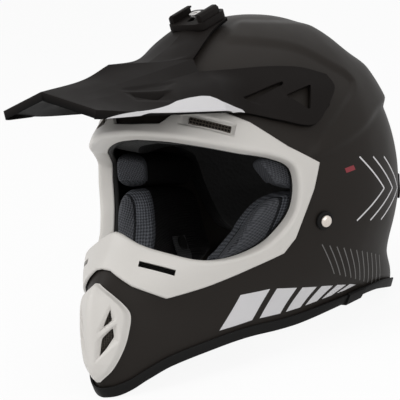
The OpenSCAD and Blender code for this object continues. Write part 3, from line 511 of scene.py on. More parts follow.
def cut(bm, *tools):
    """The bmesh with closed cutters taken out of it."""
    objects = []
    for shape in (bm, *tools):
        mesh = bpy.data.meshes.new("stock")
        shape.to_mesh(mesh)
        shape.free()
        objects.append(bpy.data.objects.new("stock", mesh))
        scene.collection.objects.link(objects[-1])
    for tool in objects[1:]:
        modifier = objects[0].modifiers.new("cut", "BOOLEAN")
        modifier.operation = "DIFFERENCE"
        modifier.solver = "EXACT"
        modifier.object = tool
    mesh = bpy.data.meshes.new_from_object(objects[0].evaluated_get(bpy.context.evaluated_depsgraph_get()))
    result = bmesh.new()
    result.from_mesh(mesh)
    bpy.data.meshes.remove(mesh)
    for o in objects:
        data = o.data
        bpy.data.objects.remove(o)
        bpy.data.meshes.remove(data)
    return result


def piece(name, bm, finish, stands_for=(), body="helmet", crease=35):
    """Makes the finished object, riding on its body."""
    mesh = bpy.data.meshes.new(name)
    bm.to_mesh(mesh)
    bm.free()
    mesh.materials.clear()
    mesh.materials.append(finish)
    mesh.polygons.foreach_set("use_smooth", [True] * len(mesh.polygons))
    mesh.set_sharp_from_angle(angle=math.radians(crease))
    obj = bpy.data.objects.new(name, mesh)
    scene.collection.objects.link(obj)
    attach(obj, body)
    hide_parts(*stands_for)
    return obj


def pair(name, left, finish, node, crease):
    """The finished object on the wearer's left and its mirror image on the right."""
    return [piece(f"{name}_{side}", bm, finish, [f"{node}_{side}"], crease=crease)
            for side, bm in (("left", left), ("right", flip(left)))]


def fillet(outline, radius, steps=3):
    """Rounds the corners of a closed outline of points."""
    p = np.asarray(outline, float)
    rounded = []
    for k, corner in enumerate(p):
        before, after = p[k - 1] - corner, p[(k + 1) % len(p)] - corner
        a = corner + before * min(0.5, radius / np.linalg.norm(before))
        b = corner + after * min(0.5, radius / np.linalg.norm(after))
        for t in np.linspace(0, 1, steps + 1):
            rounded.append((1 - t) ** 2 * a + 2 * t * (1 - t) * corner + t**2 * b)
    return np.array(rounded)


def loft(corners, radius, caps=True):
    """Solid along rows of corner points, with its edges rounded."""
    rings = np.stack([fillet(ring, radius) for ring in np.stack(corners, 1)])
    return close(lattice(np.concatenate([rings, rings[:, :1]], 1)), caps)


# Shader helpers

class Wire:
    """A shader socket that arithmetic works on: each operation adds its node."""

    def __init__(self, tree, socket):
        self.tree = tree
        self.socket = socket

    def node(self, kind, settings=None, inputs=None, output=0):
        made = self.tree.nodes.new(kind)
        for name, value in (settings or {}).items():
            if name == "stops":
                for element, (position, colour) in zip(made.color_ramp.elements, value):
                    element.position = position
                    element.color = (*colour, 1)
            else:
                setattr(made, name, value)
        for name, value in (inputs or {}).items():
            if isinstance(value, Wire):
                self.tree.links.new(value.socket, made.inputs[name])
            else:
                made.inputs[name].default_value = value
        return Wire(self.tree, made.outputs[output])

    def math(self, operation, *values):
        return self.node("ShaderNodeMath", {"operation": operation}, dict(enumerate(values)))

    def __add__(self, other):
        return self.math("ADD", self, other)

    def __sub__(self, other):
        return self.math("SUBTRACT", self, other)

    def __rsub__(self, other):
        return self.math("SUBTRACT", other, self)

    def __mul__(self, other):
        return self.math("MULTIPLY", self, other)

    def __gt__(self, other):
        return self.math("GREATER_THAN", self, other)

    def sine(self):
        return self.math("SINE", self)

    def weave(self):
        """The two directions of a cloth piece's own map."""
        tap = self.node("ShaderNodeUVMap", {"uv_map": "weave"})
        split = self.node("ShaderNodeSeparateXYZ", None, {0: tap})
        return split, Wire(self.tree, split.socket.node.outputs[1])

    def colour(self, low, high):
        """Colour between two by this factor."""
        inputs = {0: self, 6: low if isinstance(low, Wire) else (*low, 1),
                  7: high if isinstance(high, Wire) else (*high, 1)}
        return self.node("ShaderNodeMix", {"data_type": "RGBA"}, inputs, 2)

    def noise(self, place, scale, detail=3.0, roughness=0.5):
        return self.node("ShaderNodeTexNoise", None, {"Vector": place, "Scale": scale, "Detail": detail,
                                                      "Roughness": roughness})

    def bump(self, height, depth, strength=1.0):
        return self.node("ShaderNodeBump", None, {"Height": height, "Distance": depth, "Strength": strength})

    __radd__ = __add__
    __rmul__ = __mul__


def material(name, paint, **fixed):
    """A procedural material: paint(wire, place, shader) links what changes, fixed sets the rest."""
    made = bpy.data.materials.new(name)
    made.use_nodes = True
    tree = made.node_tree
    shader = tree.nodes["Principled BSDF"]
    for key, value in fixed.items():
        shader.inputs[key.replace("_", " ")].default_value = value
    start = Wire(tree, None)
    place = start.node("ShaderNodeTexCoord", None, None, "Object")

    def link(socket, value):
        tree.links.new(value.socket, shader.inputs[socket])

    paint(start, place, link)
    return made


def moulded(base, worn, roughness, grain, grain_depth, underside_shade=None):
    """Moulded or painted plastic: cloudy tone, fine grain, uneven gloss and, if given, a near-black colour of
    painted shade underneath.
    """
    def paint(wire, place, link):
        cloud = wire.noise(place, 14, 4)
        fine = wire.noise(place, grain, 2)
        tone = (cloud * 0.7 + fine * 0.3).colour(base, worn)
        if underside_shade:
            # Faces underneath take the near-black colour of painted shade.
            under = wire.node("ShaderNodeAttribute", {"attribute_name": "under"}, None, "Fac")
            tone = under.colour(tone, underside_shade)
        link("Base Color", tone)
        link("Roughness", roughness - 0.06 + wire.noise(place, 60, 3) * 0.12)
        link("Normal", wire.bump(fine, grain_depth, 0.6))
    return paint


def netting(fine_base, fine_light, coarse_base, coarse_light, seam, edge):
    """Spacer mesh on its own map: a fine panel, a coarse one past the seam and plain black past the edge."""
    def paint(wire, place, link):
        u, v = wire.weave()
        sway = wire.noise(place, 90, 2) * 1.2
        fine = ((u * 2.3 + v * 0.9 + sway).sine() * (v * 2.1 - u * 0.8 + sway).sine()) * 0.5 + 0.5
        coarse = ((u * 1.35 + v * 1.35).sine() * (u * 1.35 - v * 1.35).sine()) * 0.5 + 0.5
        which, plain = u > seam, u > edge
        height = fine * (1 - which) + coarse * which
        yarn = wire.noise(place, 2600, 2)
        cloth = which.colour(fine.colour(fine_base, fine_light), coarse.colour(coarse_base, coarse_light))
        cloth = plain.colour(cloth, yarn.colour((0.004, 0.0036, 0.0038), (0.009, 0.008, 0.0084)))
        from_seam = u - seam
        stitch = (from_seam.math("ABSOLUTE", from_seam) > 1.1).colour((0.25, 0.25, 0.25), (1, 1, 1))
        shade = (wire.noise(place, 45, 3) * 0.5 + yarn * 0.35).colour((0.72, 0.72, 0.72), (1, 1, 1))
        for other in (shade, stitch):
            cloth = wire.node("ShaderNodeMix", {"data_type": "RGBA", "blend_type": "MULTIPLY"},
                              {0: 1.0, 6: cloth, 7: other}, 2)
        link("Base Color", cloth)
        link("Roughness", 0.95 - height * 0.15)
        link("Normal", wire.bump(height + yarn * 0.15, 0.0008))
    return paint


def woven(base, light):
    """Webbing: ribs across and twill along its own map."""
    def paint(wire, place, link):
        u, v = wire.weave()
        rib = (u * 3.6 + (v * 3.6).sine() * 1.2).sine() * 0.5 + 0.5
        yarn = wire.noise(place, 2400, 2)
        link("Base Color", (rib * 0.6 + yarn * 0.4).colour(base, light))
        link("Roughness", 0.9 - rib * 0.2)
        link("Normal", wire.bump(rib + yarn * 0.3, 0.0004))
    return paint


def beaded(base, light):
    """Expanded foam: pressed beads."""
    def paint(wire, place, link):
        bead = wire.node("ShaderNodeTexVoronoi", None, {"Vector": place, "Scale": 330.0})
        link("Base Color", (bead * 1.4).colour(light, base))
        link("Roughness", 0.85 - bead * 0.2)
        link("Normal", wire.bump(1 - bead, 0.0005, 0.7))
    return paint


def plated(base, light):
    """Zinc plate with fine scratches."""
    def paint(wire, place, link):
        drawn = wire.node("ShaderNodeMapping", None, {0: place, 3: (1.0, 14.0, 1.0)})
        scratch = wire.noise(drawn, 700, 4)
        cloud = wire.noise(place, 180, 3)
        link("Base Color", cloud.colour(base, light))
        link("Roughness", 0.2 + scratch * 0.25)
        link("Normal", wire.bump(scratch, 0.00006, 0.5))
    return paint


PEAK_TONE = ((0.0082, 0.0068, 0.0062), (0.0106, 0.0090, 0.0083), 0.55, 1100, 0.00006)
CHARCOAL = material("charcoal_matte", moulded((0.0150, 0.0123, 0.0104), (0.0186, 0.0155, 0.0132), 0.5, 1500,
                                              0.00004), Specular_IOR_Level=0.12)
PEAK_BLACK = material("peak_matte", moulded(*PEAK_TONE), Specular_IOR_Level=0.06)
# The peak's faces underneath are painted near black: painted shade that darkens its slots and underside.
PEAK_UNDERSIDE_SHADED = material("peak_matte_shaded_under", moulded(*PEAK_TONE, (0.0012, 0.0011, 0.0011)), Specular_IOR_Level=0.06)
WHITE = material("white_satin", moulded((0.60, 0.577, 0.545), (0.655, 0.632, 0.600), 0.42, 1300, 0.00003),
                 Specular_IOR_Level=0.3)
PAINT_WHITE = material("white_paint", moulded((0.62, 0.61, 0.62), (0.68, 0.67, 0.68), 0.45, 1500, 0.00003))
PAINT_GREY = material("grey_paint", moulded((0.10, 0.097, 0.094), (0.13, 0.126, 0.122), 0.5, 1500, 0.00003))
PAINT_RED = material("red_paint", moulded((0.19, 0.010, 0.018), (0.24, 0.014, 0.024), 0.42, 1500, 0.00003))
RUBBER = material("black_rubber", moulded((0.0052, 0.0050, 0.0050), (0.0086, 0.0083, 0.0080), 0.62, 900,
                                          0.00012), Specular_IOR_Level=0.12)
NET = material("vent_net", moulded((0.055, 0.045, 0.036), (0.095, 0.080, 0.064), 0.55, 1200, 0.0001))
DARK_NET = material("dark_net", moulded((0.005, 0.0048, 0.0046), (0.009, 0.0086, 0.0082), 0.6, 1200, 0.0001),
                    Specular_IOR_Level=0.1)
RIVET_STEEL = material("rivet_plate", plated((0.60, 0.55, 0.50), (0.74, 0.68, 0.62)), Metallic=0.85)
STEEL = material("zinc_plate", plated((0.58, 0.57, 0.56), (0.72, 0.71, 0.70)), Metallic=1.0)
FOAM = material("black_foam", beaded((0.006, 0.006, 0.006), (0.014, 0.013, 0.013)))
WEBBING = material("black_webbing", woven((0.006, 0.006, 0.007), (0.022, 0.022, 0.024)))
GREY_MESH = [(0.048, 0.050, 0.056), (0.118, 0.122, 0.135), (0.022, 0.023, 0.027), (0.140, 0.148, 0.166)]
BLACK_MESH = [(0.010, 0.010, 0.011), (0.022, 0.022, 0.025)] * 2
CHEEK_CLOTH, SIDE_CLOTH, CROWN_CLOTH = [
    material(name, netting(*tones, seam, edge), Specular_IOR_Level=0.08) for name, tones, seam, edge in (
        ("cheek_netting", GREY_MESH, CHEEK_SEAM, CHEEK_T + 4),
        ("side_netting", GREY_MESH, NO_SEAM, SIDE_T + 4),
        ("crown_netting", BLACK_MESH, NO_SEAM, NO_SEAM))]


# Shell and its fixed covers

def frame_stations(steps):
    """Stations all round the eyeport: side, outer edge, inner edge and duct share."""
    last = len(FRAME_OUTER) - 1
    x = np.linspace(0, last, last * steps + 1)
    x = np.concatenate([x, x[-2::-1]])
    side = np.where(np.arange(len(x)) < last * steps + 1, 1.0, -1.0)
    outer, inner = straight(FRAME_OUTER, x), chain(FRAME_INNER, x)
    outer[:, 0] *= side
    inner[:, 0] *= side
    return outer, inner, straight(DUCT_SHARE, x)


def frame_width(outer, inner):
    """Distance across the frame at each station."""
    return np.linalg.norm(inside(outer[:, 0], outer[:, 1]) - inside(inner[:, 0], inner[:, 1]), axis=-1)


def frame_point(outer, inner, dist, off):
    """Points at a distance from the port's edge and a height above the plain form."""
    t = np.minimum(1, dist / frame_width(outer, inner))[:, None]
    p = mix(inner, outer, t)
    return inside(p[:, 0], p[:, 1], -np.broadcast_to(off, t[:, 0].shape))


def port_plug():
    """Cutter of the eyeport."""
    outer, inner, _ = frame_stations(4)
    ring = [frame_point(outer, inner, LIP_WALL + 1.2, reach)[:-1] for reach in (16, -16)]
    return plug(*ring, tips=((0, -CHIN_REACH - 32, WAIST_H), (0, -CHIN_REACH / 2, WAIST_H)))


def mouth_plug(grow=0.0):
    """Cutter of the mouth opening."""
    half, low, high = MOUTH
    x, z = half + grow, np.array([low - grow, high + grow])
    return plug(*[np.stack([np.array([-x, x, x, -x]), np.full(4, y), np.repeat(z, 2)], -1)
                  for y in (-2 * CHIN_REACH, -100.0)])


def make_shell():
    columns, rows = 300, 170
    angle = np.linspace(-180, 180, columns + 1)[:, None]
    low = arc_of(rim_z(angle) + TRIM_SOLE + SEAT)
    s = mix(low, ARC_PER_DEG * 90, np.linspace(0, 1, rows + 1)[None] ** 0.96)
    angle = np.broadcast_to(angle, s.shape)
    normals = outward(form, angle, np.minimum(s, ARC_PER_DEG * 89))
    bm = thicken(lattice(form(angle, s)), normals, SHELL_WALL)
    bm = cut(bm, port_plug(), mouth_plug(), *window_plugs(-SEAT))
    piece("shell_body", bm, CHARCOAL, ["outer_shell"])


def make_frame():
    outer, inner, duct = frame_stations(14)
    proud = FRAME_PROUD + DUCT_PROUD * duct
    width = frame_width(outer, inner)
    # Rows across the frame, each a distance from the port and a height
    # Outer edge, rounded over on to the face
    rows = [(width, FORM_SEAT + 0.4), (width, 2.0), (width - 0.35, 2.9)]
    for t in np.linspace(0, 1, 26):
        dist = mix(width - 1.1, np.full_like(width, 3.6), t)
        slope = np.clip((dist - 3.5) / np.maximum(width - 3.5, 1), 0, 1)
        rows.append((dist, mix(proud, 3.4, slope**1.25)))
    # Lip rolled into the port, its wall and its back
    rows += [(dist, proud - drop)
             for dist, drop in ((2.6, 0.12), (1.7, 0.5), (0.9, 1.2), (0.35, 2.2), (0.08, 3.2), (0, 4.2))]
    rows += [(0, -2), (0, -LIP_DEPTH + 0.8), (0.5, -LIP_DEPTH + 0.1), (1.1, -LIP_DEPTH),
             (LIP_WALL - 0.3, -LIP_DEPTH + 0.2), (LIP_WALL, -LIP_DEPTH + 0.9), (LIP_WALL, FORM_SEAT),
             (10, FORM_SEAT + 0.9), rows[0]]
    points = np.stack([frame_point(outer, inner, dist, off) for dist, off in rows], 1)
    # The duct's window lies in a sunk shelf, a little longer towards the middle
    p, u, v, w = window_axes(BROW_WINDOW)
    length, height = BROW_WINDOW[3:]
    for side in (1, -1):
        flat = (points * (side, 1, 1)) - p
        shelf = (ramp((length / 2 + 5.5 - np.abs(flat @ u + 2.0)) / 3.0)
                 * ramp((height / 2 + 3.2 - np.abs(flat @ v)) / 2.2))
        front = flat @ w > 2.5
        points -= ((SHELF_DEPTH * shelf * front)[..., None] * w) * (side, 1, 1)
    bm = cut(close(lattice(points)), *window_plugs())
    piece("eyeport_frame", bm, WHITE, ["front_fascia"], crease=32)


def chin_angle(x, z):
    """Angle at which the form is x millimetres from the middle."""
    a = np.degrees(np.arcsin(np.clip(x / CHIN_REACH, -1, 1)))
    for _ in range(8):
        a = np.degrees(np.arcsin(np.clip(x / section(a, z), -1, 1)))
    return a


def chin_point(x, z, off):
    """Point on the chin by its distance from the middle."""
    x, z, off = np.broadcast_arrays(np.asarray(x, float), z, off)
    return on(chin_angle(x, z), z, off)


def make_mouth_vent():
    z = np.linspace(VENT_OUTLINE[0][0], VENT_OUTLINE[-1][0], 121)[:, None]
    half = VENT_HALF_W * spline(VENT_OUTLINE, z)
    across = np.linspace(-1, 1, 101)[None]
    x = np.abs(across) * half
    rise = mix(VENT_EDGE, VENT_PROUD, np.minimum(1, half / VENT_HALF_W * 1.6))
    edge = ramp((1 - np.abs(across)) * half / 4.2)
    crest = 1.4 * np.exp(-(x / 3.0) ** 2)
    # A dish round the two windows, with the bar between them left standing
    dish = DISH_DEPTH * in_shape(VENT_DISH, x, z + 0 * x, 3.5)
    bar = ramp((3.4 - np.abs((z - VENT_BAR[1]) - VENT_BAR[2] * (x - VENT_BAR[0]))) / 2.0)
    proud = VENT_EDGE + (rise - VENT_EDGE + crest - dish * (1 - 0.9 * bar)) * edge
    front = chin_point(across * half, z, proud)
    back = chin_point(across[:, ::-1] * half, z, FORM_SEAT)
    ring = np.concatenate([front, back, front[:, :1]], 1)
    bm = close(lattice(ring), caps=True)
    tools = []
    for outline in VENT_WINDOWS:
        x, z = fillet(outline, 1.2, 2).T
        tools.append(plug(chin_point(x, z, 12.0), chin_point(x, z, -3.0)))
    bm = cut(bm, *tools, *[flip(t) for t in tools])
    piece("mouth_cover", bm, WHITE, ["mouth_vent"], crease=40)


def make_net(points, wire):
    """Net of four-sided holes over an array of points."""
    bm = lattice(points)
    inner = bmesh.ops.inset_individual(bm, faces=bm.faces[:], thickness=wire / 2000, depth=0)
    kept = set(inner["faces"])
    bmesh.ops.delete(bm, geom=[f for f in bm.faces if f not in kept], context="FACES")
    bmesh.ops.solidify(bm, geom=bm.faces[:], thickness=0.0008)
    bmesh.ops.recalc_face_normals(bm, faces=bm.faces[:])
    return bm


def make_nets():
    half, low, high = MOUTH
    x = np.linspace(SEAT - half, half - SEAT, 21)[:, None]
    z = np.linspace(low + SEAT, high - SEAT, 25)[None]
    piece("mouth_net", make_net(chin_point(x, z, 0.5), 0.6), NET, ["mouth_vent_mesh"])
    # A thin black sheet just behind the net stands in for the shade inside the chin, so the holes look dark.
    places = chin_point(x, z, -0.9)
    shade_sheet = thicken(lattice(places), grid_normals(places), 0.3)
    piece("mouth_shade_sheet", shade_sheet, FOAM, ["mouth_vent_mesh"])
    for name, place, off, pitch, wire, finish, node in (
            ("brow_nets", BROW_WINDOW, 4.2, 2.4, 0.9, NET, "brow_vent_meshes"),
            ("chin_nets", CHIN_WINDOW, 1.5, 1.5, 0.45, DARK_NET, "chin_slot_meshes")):
        p, u, v, w = window_axes(place)
        a, b = [np.linspace(-0.5, 0.5, round(size / pitch) + 1) * size
                for size in (place[3] - 2 * SEAT, place[4] - 2 * SEAT)]
        bm = make_net(p + off * w + a[:, None, None] * u + b[None, :, None] * v, wire)
        piece(name, both(bm), finish, [node])


def make_trim(name, start, end, node):
    """Rubber channel on the rim, with rounded edges."""
    angle = np.linspace(start, end, round(abs(end - start) * 1.5) + 1)
    z = rim_z(angle)
    s = arc_of(z)
    w = outward(form, angle, s)
    out = unit(w - PLUMB * (w @ PLUMB)[:, None])
    foot = form(angle, s)
    over = SHELL_WALL + FORM_SEAT
    # A thicker sleeve where the two rubbers meet
    sleeve = 1.3 * ramp((fold(angle) - 90.1) / 0.1) * ramp((TRIM_SLEEVE - fold(angle)) / 0.7 + 1)
    wall, high = TRIM_WALL + sleeve, z + TRIM_H + 0.6 * sleeve
    sole = foot - (1.2 * sleeve)[:, None] * PLUMB
    channel = [(high, -over - wall), (high, -over), (z + TRIM_SOLE, -over), (z + TRIM_SOLE, FORM_SEAT),
               (high, FORM_SEAT), (high, FORM_SEAT + wall)]
    corners = [sole - (over + wall)[:, None] * out, *[on(angle, up, off) for up, off in channel],
               sole + (FORM_SEAT + wall)[:, None] * out]
    piece(name, loft(corners, 0.8), RUBBER, [node], crease=40)


def make_seal():
    outer, inner, _ = frame_stations(8)
    depth = LIP_DEPTH + SEAT
    corners = [frame_point(outer, inner, d, -o) for d, o in
               ((SEAL_SIZE, depth), (0.3, depth), (0.3, depth + SEAL_SIZE), (SEAL_SIZE, depth + SEAL_SIZE))]
    piece("port_seal", loft(corners, 1.3, caps=False), RUBBER, ["eyeport_seal"])


def make_rear_vents():
    t = np.linspace(0, 1, 41)
    (start, end), (low, high) = SCOOP
    proud = SCOOP_PROUD * np.sin(np.pi * mix(0.12, 0.88, t))
    mid = mix(low, high, 0.3)
    corners = [on(mix(start, end, t), z, off) for z, off in (
        (mid, SEAT), (high, SEAT), (high, SEAT + 0.8), (mid, proud), (low, proud), (low, SEAT))]
    pair("rear_scoop", soften(loft(corners, 1.2), 0.6), PEAK_BLACK, "rear_vent", 40)


# Peak

ARM_OFF = PEAK_GAP + PEAK_WALL
CORNER_Z = 220.5
RIDGE_Z = 256.0
VALLEY_Z = 255.0
APEX_Z = CORNER_Z + BLADE_GABLE
BROW_Y = on(0, 215.0)[1]
FRONT_Y = BROW_Y - BLADE_L
CREST_Y = BROW_Y - 32
SPLIT_ROW = 2
SPLIT_COL = 2
# Openings and scoops: the blade's across and back from its tip, the arm's in its own surface
BLADE_SLOT = [(32, 61.5), (44.5, 88.5), (46.5, 76.5)]
BLADE_SCOOP = [(24, 56.5), (36, 107.5), (41, 105), (44.5, 88.5), (32, 61)]
BLADE_DIP = [(28, 58), (45, 96), (57, 86), (43, 58)]
BLADE_FLAP = [(25, 57), (40, 97), (48, 92), (35, 60)]
ARM_WINDOW_AT = (58, 231)
ARM_WINDOW = [(-16.5, 0.5), (7.5, 10), (2, -12)]
ARM_SLOT_AT = (43, 237)
ARM_SLOT = [(-22, -8.5), (11.5, 5.5), (12.5, 3.5), (-18.5, -12.5)]
ARM_SCOOP = [(-24, -9.5), (12, 5.5), (14, -8), (2, -20)]
DIP_DEPTH = 2.4
FLAP_THINNED = 2.2
DENT_DEPTH = 1.8
# Extra depth of the blade's front edge
FRONT_DEEP = 3.4
# Plain strip along the side edge: net row and column of its upper line
EDGE_STRIP = [(0.2, 4.995), (0.7, 4.995), (1.27, 4.57), (1.41, 4.41), (1.57, 4.38), (1.73, 4.41),
              (1.83, 4.48), (1.91, 4.6), (1.99, 4.74), (2.45, 4.85), (2.77, 4.92), (2.86, 4.995)]


def arm(*places):
    """Points of the peak that lie over the shell."""
    return [on(angle, z, ARM_OFF) for angle, z in places]


PEAK_NET = np.array([
    [(t * BLADE_W / 2, FRONT_Y + BLADE_SWEEP * t, mix(APEX_Z, CORNER_Z, t)) for t in np.linspace(0, 1, 6)],
    [(0, FRONT_Y + 45, APEX_Z + 9.5), (10, FRONT_Y + 49, APEX_Z + 7.5), (20, FRONT_Y + 53, APEX_Z + 4.5),
     (31, FRONT_Y + 57, APEX_Z), (45, FRONT_Y + 60, APEX_Z - 7), (58, FRONT_Y + 61, CORNER_Z - 1)],
    [(0, CREST_Y, RIDGE_Z), (13, CREST_Y + 33, RIDGE_Z + 2.5), *arm((13, 257.5), (16.5, 248)),
     (57, CREST_Y + 60, RIDGE_Z - 12.5), (75, CREST_Y + 49, CORNER_Z + 1)],
    [(0, CREST_Y + 34, VALLEY_Z), (15, CREST_Y + 52, VALLEY_Z + 5),
     *arm((13.5, 263.5), (28, 250), (34, 237), (35, 217.5))],
    arm((0, 266), (7, 270), (14, 271.5), (42, 252.5), (46, 236), (46, 213)),
    arm((0, 281), (7, 282), (14.5, 281.5), (58, 252.5), (60, 234), (60, 209.5)),
    arm((0, 294.5), (8, 293.5), (16.5, 291), (72, 247.5), (74, 238), (69, 225.5))])


def peak_point(r, x):
    """Upper surface of the peak: r counts net rows from the front, x columns from the ridge."""
    r, x = np.broadcast_arrays(np.asarray(r, float), x)
    columns = np.stack([chain(PEAK_NET[:, k], r, SPLIT_ROW) for k in range(6)], -2)
    a = np.abs(x)

    def across(first, last, t):
        p = columns[..., first:last + 1, :]
        n = last - first
        i = np.clip(np.floor(t).astype(int), 0, n - 1)[..., None, None]
        take = lambda k: np.take_along_axis(p, np.clip(k, 0, n), -2)[..., 0, :]
        step = take(i + 1) - take(i)
        u = np.where(i[..., 0] == 0, step, (take(i + 1) - take(i - 1)) / 2)
        v = np.where(i[..., 0] + 1 == n, step, (take(i + 2) - take(i)) / 2)
        return hermite(take(i), take(i + 1), u, v, (t - i[..., 0, 0])[..., None])

    stem = across(0, SPLIT_COL, np.minimum(a, SPLIT_COL))
    wing = across(SPLIT_COL + 1, 5, np.maximum(a - SPLIT_COL - 1, 0))
    between = mix(columns[..., SPLIT_COL, :], columns[..., SPLIT_COL + 1, :],
                  np.clip(a - SPLIT_COL, 0, 1)[..., None])
    p = np.where((a <= SPLIT_COL)[..., None], stem, np.where((a >= SPLIT_COL + 1)[..., None], wing, between))
    return p * np.stack([np.where(x < 0, -1.0, 1.0), np.ones_like(x), np.ones_like(x)], -1)


def along(a, b, x, y):
    """Distance to the right of the line from a to b."""
    run = np.subtract(b, a)
    return ((x - a[0]) * run[1] - (y - a[1]) * run[0]) / np.linalg.norm(run)


def blade_edge(r):
    """Height of the peak's side edge: a deep corner in front, then thin as far as the arm."""
    thin = ramp((r - 0.75) / 0.2) * (1 - ramp((r - 2.2) / 0.3))
    return PEAK_WALL * (1 - 0.7 * thin) + np.clip(4.0 * (1 - (r - 0.1) / 0.75), 0, 4)


def make_peak():
    per_row, per_col = 24, 26
    x = np.linspace(-5, 5, 10 * per_col + 1)[:, None]
    r = np.linspace(0, 6, 6 * per_row + 1)[None]
    x, r = np.broadcast_arrays(x, r)
    points = peak_point(r, x)
    normals = grid_normals(points)
    # The flap ahead of each blade slot thins to its edge and the blade dips behind it
    side = points * np.stack([np.sign(x), np.ones_like(x), np.ones_like(x)], -1)
    across, back = side[..., 0], side[..., 1] - FRONT_Y
    past = along(BLADE_SLOT[0], BLADE_SLOT[1], across, back)
    blade = r < SPLIT_ROW + 0.1
    sink = blade * (in_shape(BLADE_SCOOP, across, back, 4)
                    + DIP_DEPTH * in_shape(BLADE_DIP, across, back, 6) * ramp((past + 0.8) / 1.2))
    thin = blade * FLAP_THINNED * in_shape(BLADE_FLAP, across, back, 2.5) * ramp((0.8 - past) / 1.2)
    # The arm's face sinks to its slot
    p, u, v, w = shell_axes(*ARM_SLOT_AT)
    a, b, off = (side - p) @ u, (side - p) @ v, (side - p) @ w
    dent = in_shape(ARM_SCOOP, a, b, 1.6) * (np.abs(off - ARM_OFF) < 8) * (r > SPLIT_ROW)
    dent = dent * DENT_DEPTH * np.clip(1 - along(ARM_SLOT[0], ARM_SLOT[1], a, b) / 15, 0, 1)
    points = points - (sink + dent)[..., None] * normals
    bm = lattice(points)
    column, row = bm.verts.layers.int["column"], bm.verts.layers.int["row"]
    gone = []
    for face in bm.faces:
        i = min(v[column] for v in face.verts)
        j = min(v[row] for v in face.verts)
        mid = abs((i + 0.5) / per_col - 5)
        if j >= SPLIT_ROW * per_row and SPLIT_COL < mid < SPLIT_COL + 1:
            gone.append(face)
    bmesh.ops.delete(bm, geom=gone, context="FACES")
    front = 1 - ramp(r / 0.16)
    wall = mix(PEAK_WALL, blade_edge(r), ramp((np.abs(x) - 4.8) / 0.16))
    bm = thicken(bm, normals, np.maximum(PEAK_WALL + FRONT_DEEP * front, wall) - thin - dent)
    bm = soften(bm, 0.7, 60)
    x, y = fillet(BLADE_SLOT, 1.2, 2).T
    slots = [plug(*[np.stack([x, FRONT_Y + y, np.full_like(x, z)], -1) for z in (APEX_Z + 60, APEX_Z - 30)]),
             prism(shell_axes(*ARM_WINDOW_AT), fillet(ARM_WINDOW, 1.5, 2), -1, 14),
             prism(shell_axes(*ARM_SLOT_AT), fillet(ARM_SLOT, 0.8, 2), -1, 14),
             prism((on(*STUD), *np.eye(3)[[1, 2, 0]]), circle(STUD_D / 2 + 0.05), -10, 4.4)]
    bm = cut(bm, *slots, *[flip(t) for t in slots],
             prism(shell_axes(0, SCREW_Z), slot_outline(SCREW_D + SLOT_PLAY, TILT_SLOT), -2, 14))
    # Its material paints shade on the faces underneath.
    piece("peak_blade", bm, PEAK_UNDERSIDE_SHADED, ["peak"], "peak", 40)


def make_strip():
    """The blade's bare edge strip: it starts low on the side edge and spreads over on to the top."""
    r = np.linspace(EDGE_STRIP[0][0], EDGE_STRIP[-1][0], 130)[:, None]
    rows, cols = np.array(EDGE_STRIP).T
    x = mix(np.interp(r, rows, cols), cols[0], np.linspace(0, 1, 14)[None])
    low = (blade_edge(r) - 0.25) * (1 - 0.95 * ramp((r - 2.35) / 0.38))
    high = low * np.clip(1 - (r - 0.2) / 0.5, 0, 1)
    r = r + 0 * x
    step = 0.01
    out = unit(peak_point(r, x) - peak_point(r, x - step))
    normals = unit(np.cross(out, peak_point(r + step, x) - peak_point(r - step, x)))
    face = peak_point(r, x) + (0.15 - high)[..., None] * normals
    edge, side, top = peak_point(r, x)[:, -1:], out[:, -1:], normals[:, -1:]
    turn = [edge + 0.3 * side - mix(high, low, t)[..., None] * top for t in (0.1, 0.5, 1)]
    bm = thicken(lattice(np.concatenate([face, *turn], 1)), np.concatenate([normals, *[side] * 3], 1), 0.35)
    piece("peak_edge_strip", both(bm), PAINT_WHITE, [], "peak", 50)


def make_mount():
    """Camera slide with rounded edges and a sole that follows the stem."""
    p, u, v, w = shell_axes(0, SCREW_Z)
    floor = p + (ARM_OFF + MOUNT_SEAT) * w
    axes = (floor, u, v, w)
    corners = np.array([(1, 1), (-1, 1), (-1, -1), (1, -1)]) * (MOUNT_W / 2, MOUNT_L / 2)
    outline = fillet(corners, MOUNT_R * 1.3, 6)
    sole = SOLE_MID + (outline**2 / SOLE_BEND).sum(-1, keepdims=True)
    base = plug(placed(axes, outline, MOUNT_BASE), placed(axes, outline, -sole),
                (floor + MOUNT_BASE * w, floor - SOLE_MID * w))
    base = cut(base, prism(axes, slot_outline(SCREW_D + SLOT_PLAY, TILT_SLOT), -2, 8))
    top, inner, outer = MOUNT_BASE + SLIDE_H + RAIL_LIP, SLIDE_W / 2, MOUNT_W / 2 - 1
    outline = [(inner, 1), (outer, 1), (outer, top - 2), (outer - 2, top), (inner - RAIL_LIP, top),
               (inner - RAIL_LIP, top - RAIL_LIP), (inner, top - RAIL_LIP)]
    rail = prism((floor, u, w, v), outline, RAIL_BACK - RAIL_L / 2, RAIL_BACK + RAIL_L / 2,
                 (inner + 0.8, top - RAIL_LIP + 0.3))
    rail = soften(rail, 0.6, 25, 3)
    bm = join(soften(base, 0.8, 50, 3), both(rail))
    piece("camera_slide", bm, PEAK_BLACK, ["camera_mount"], "peak", 45)


# Padding

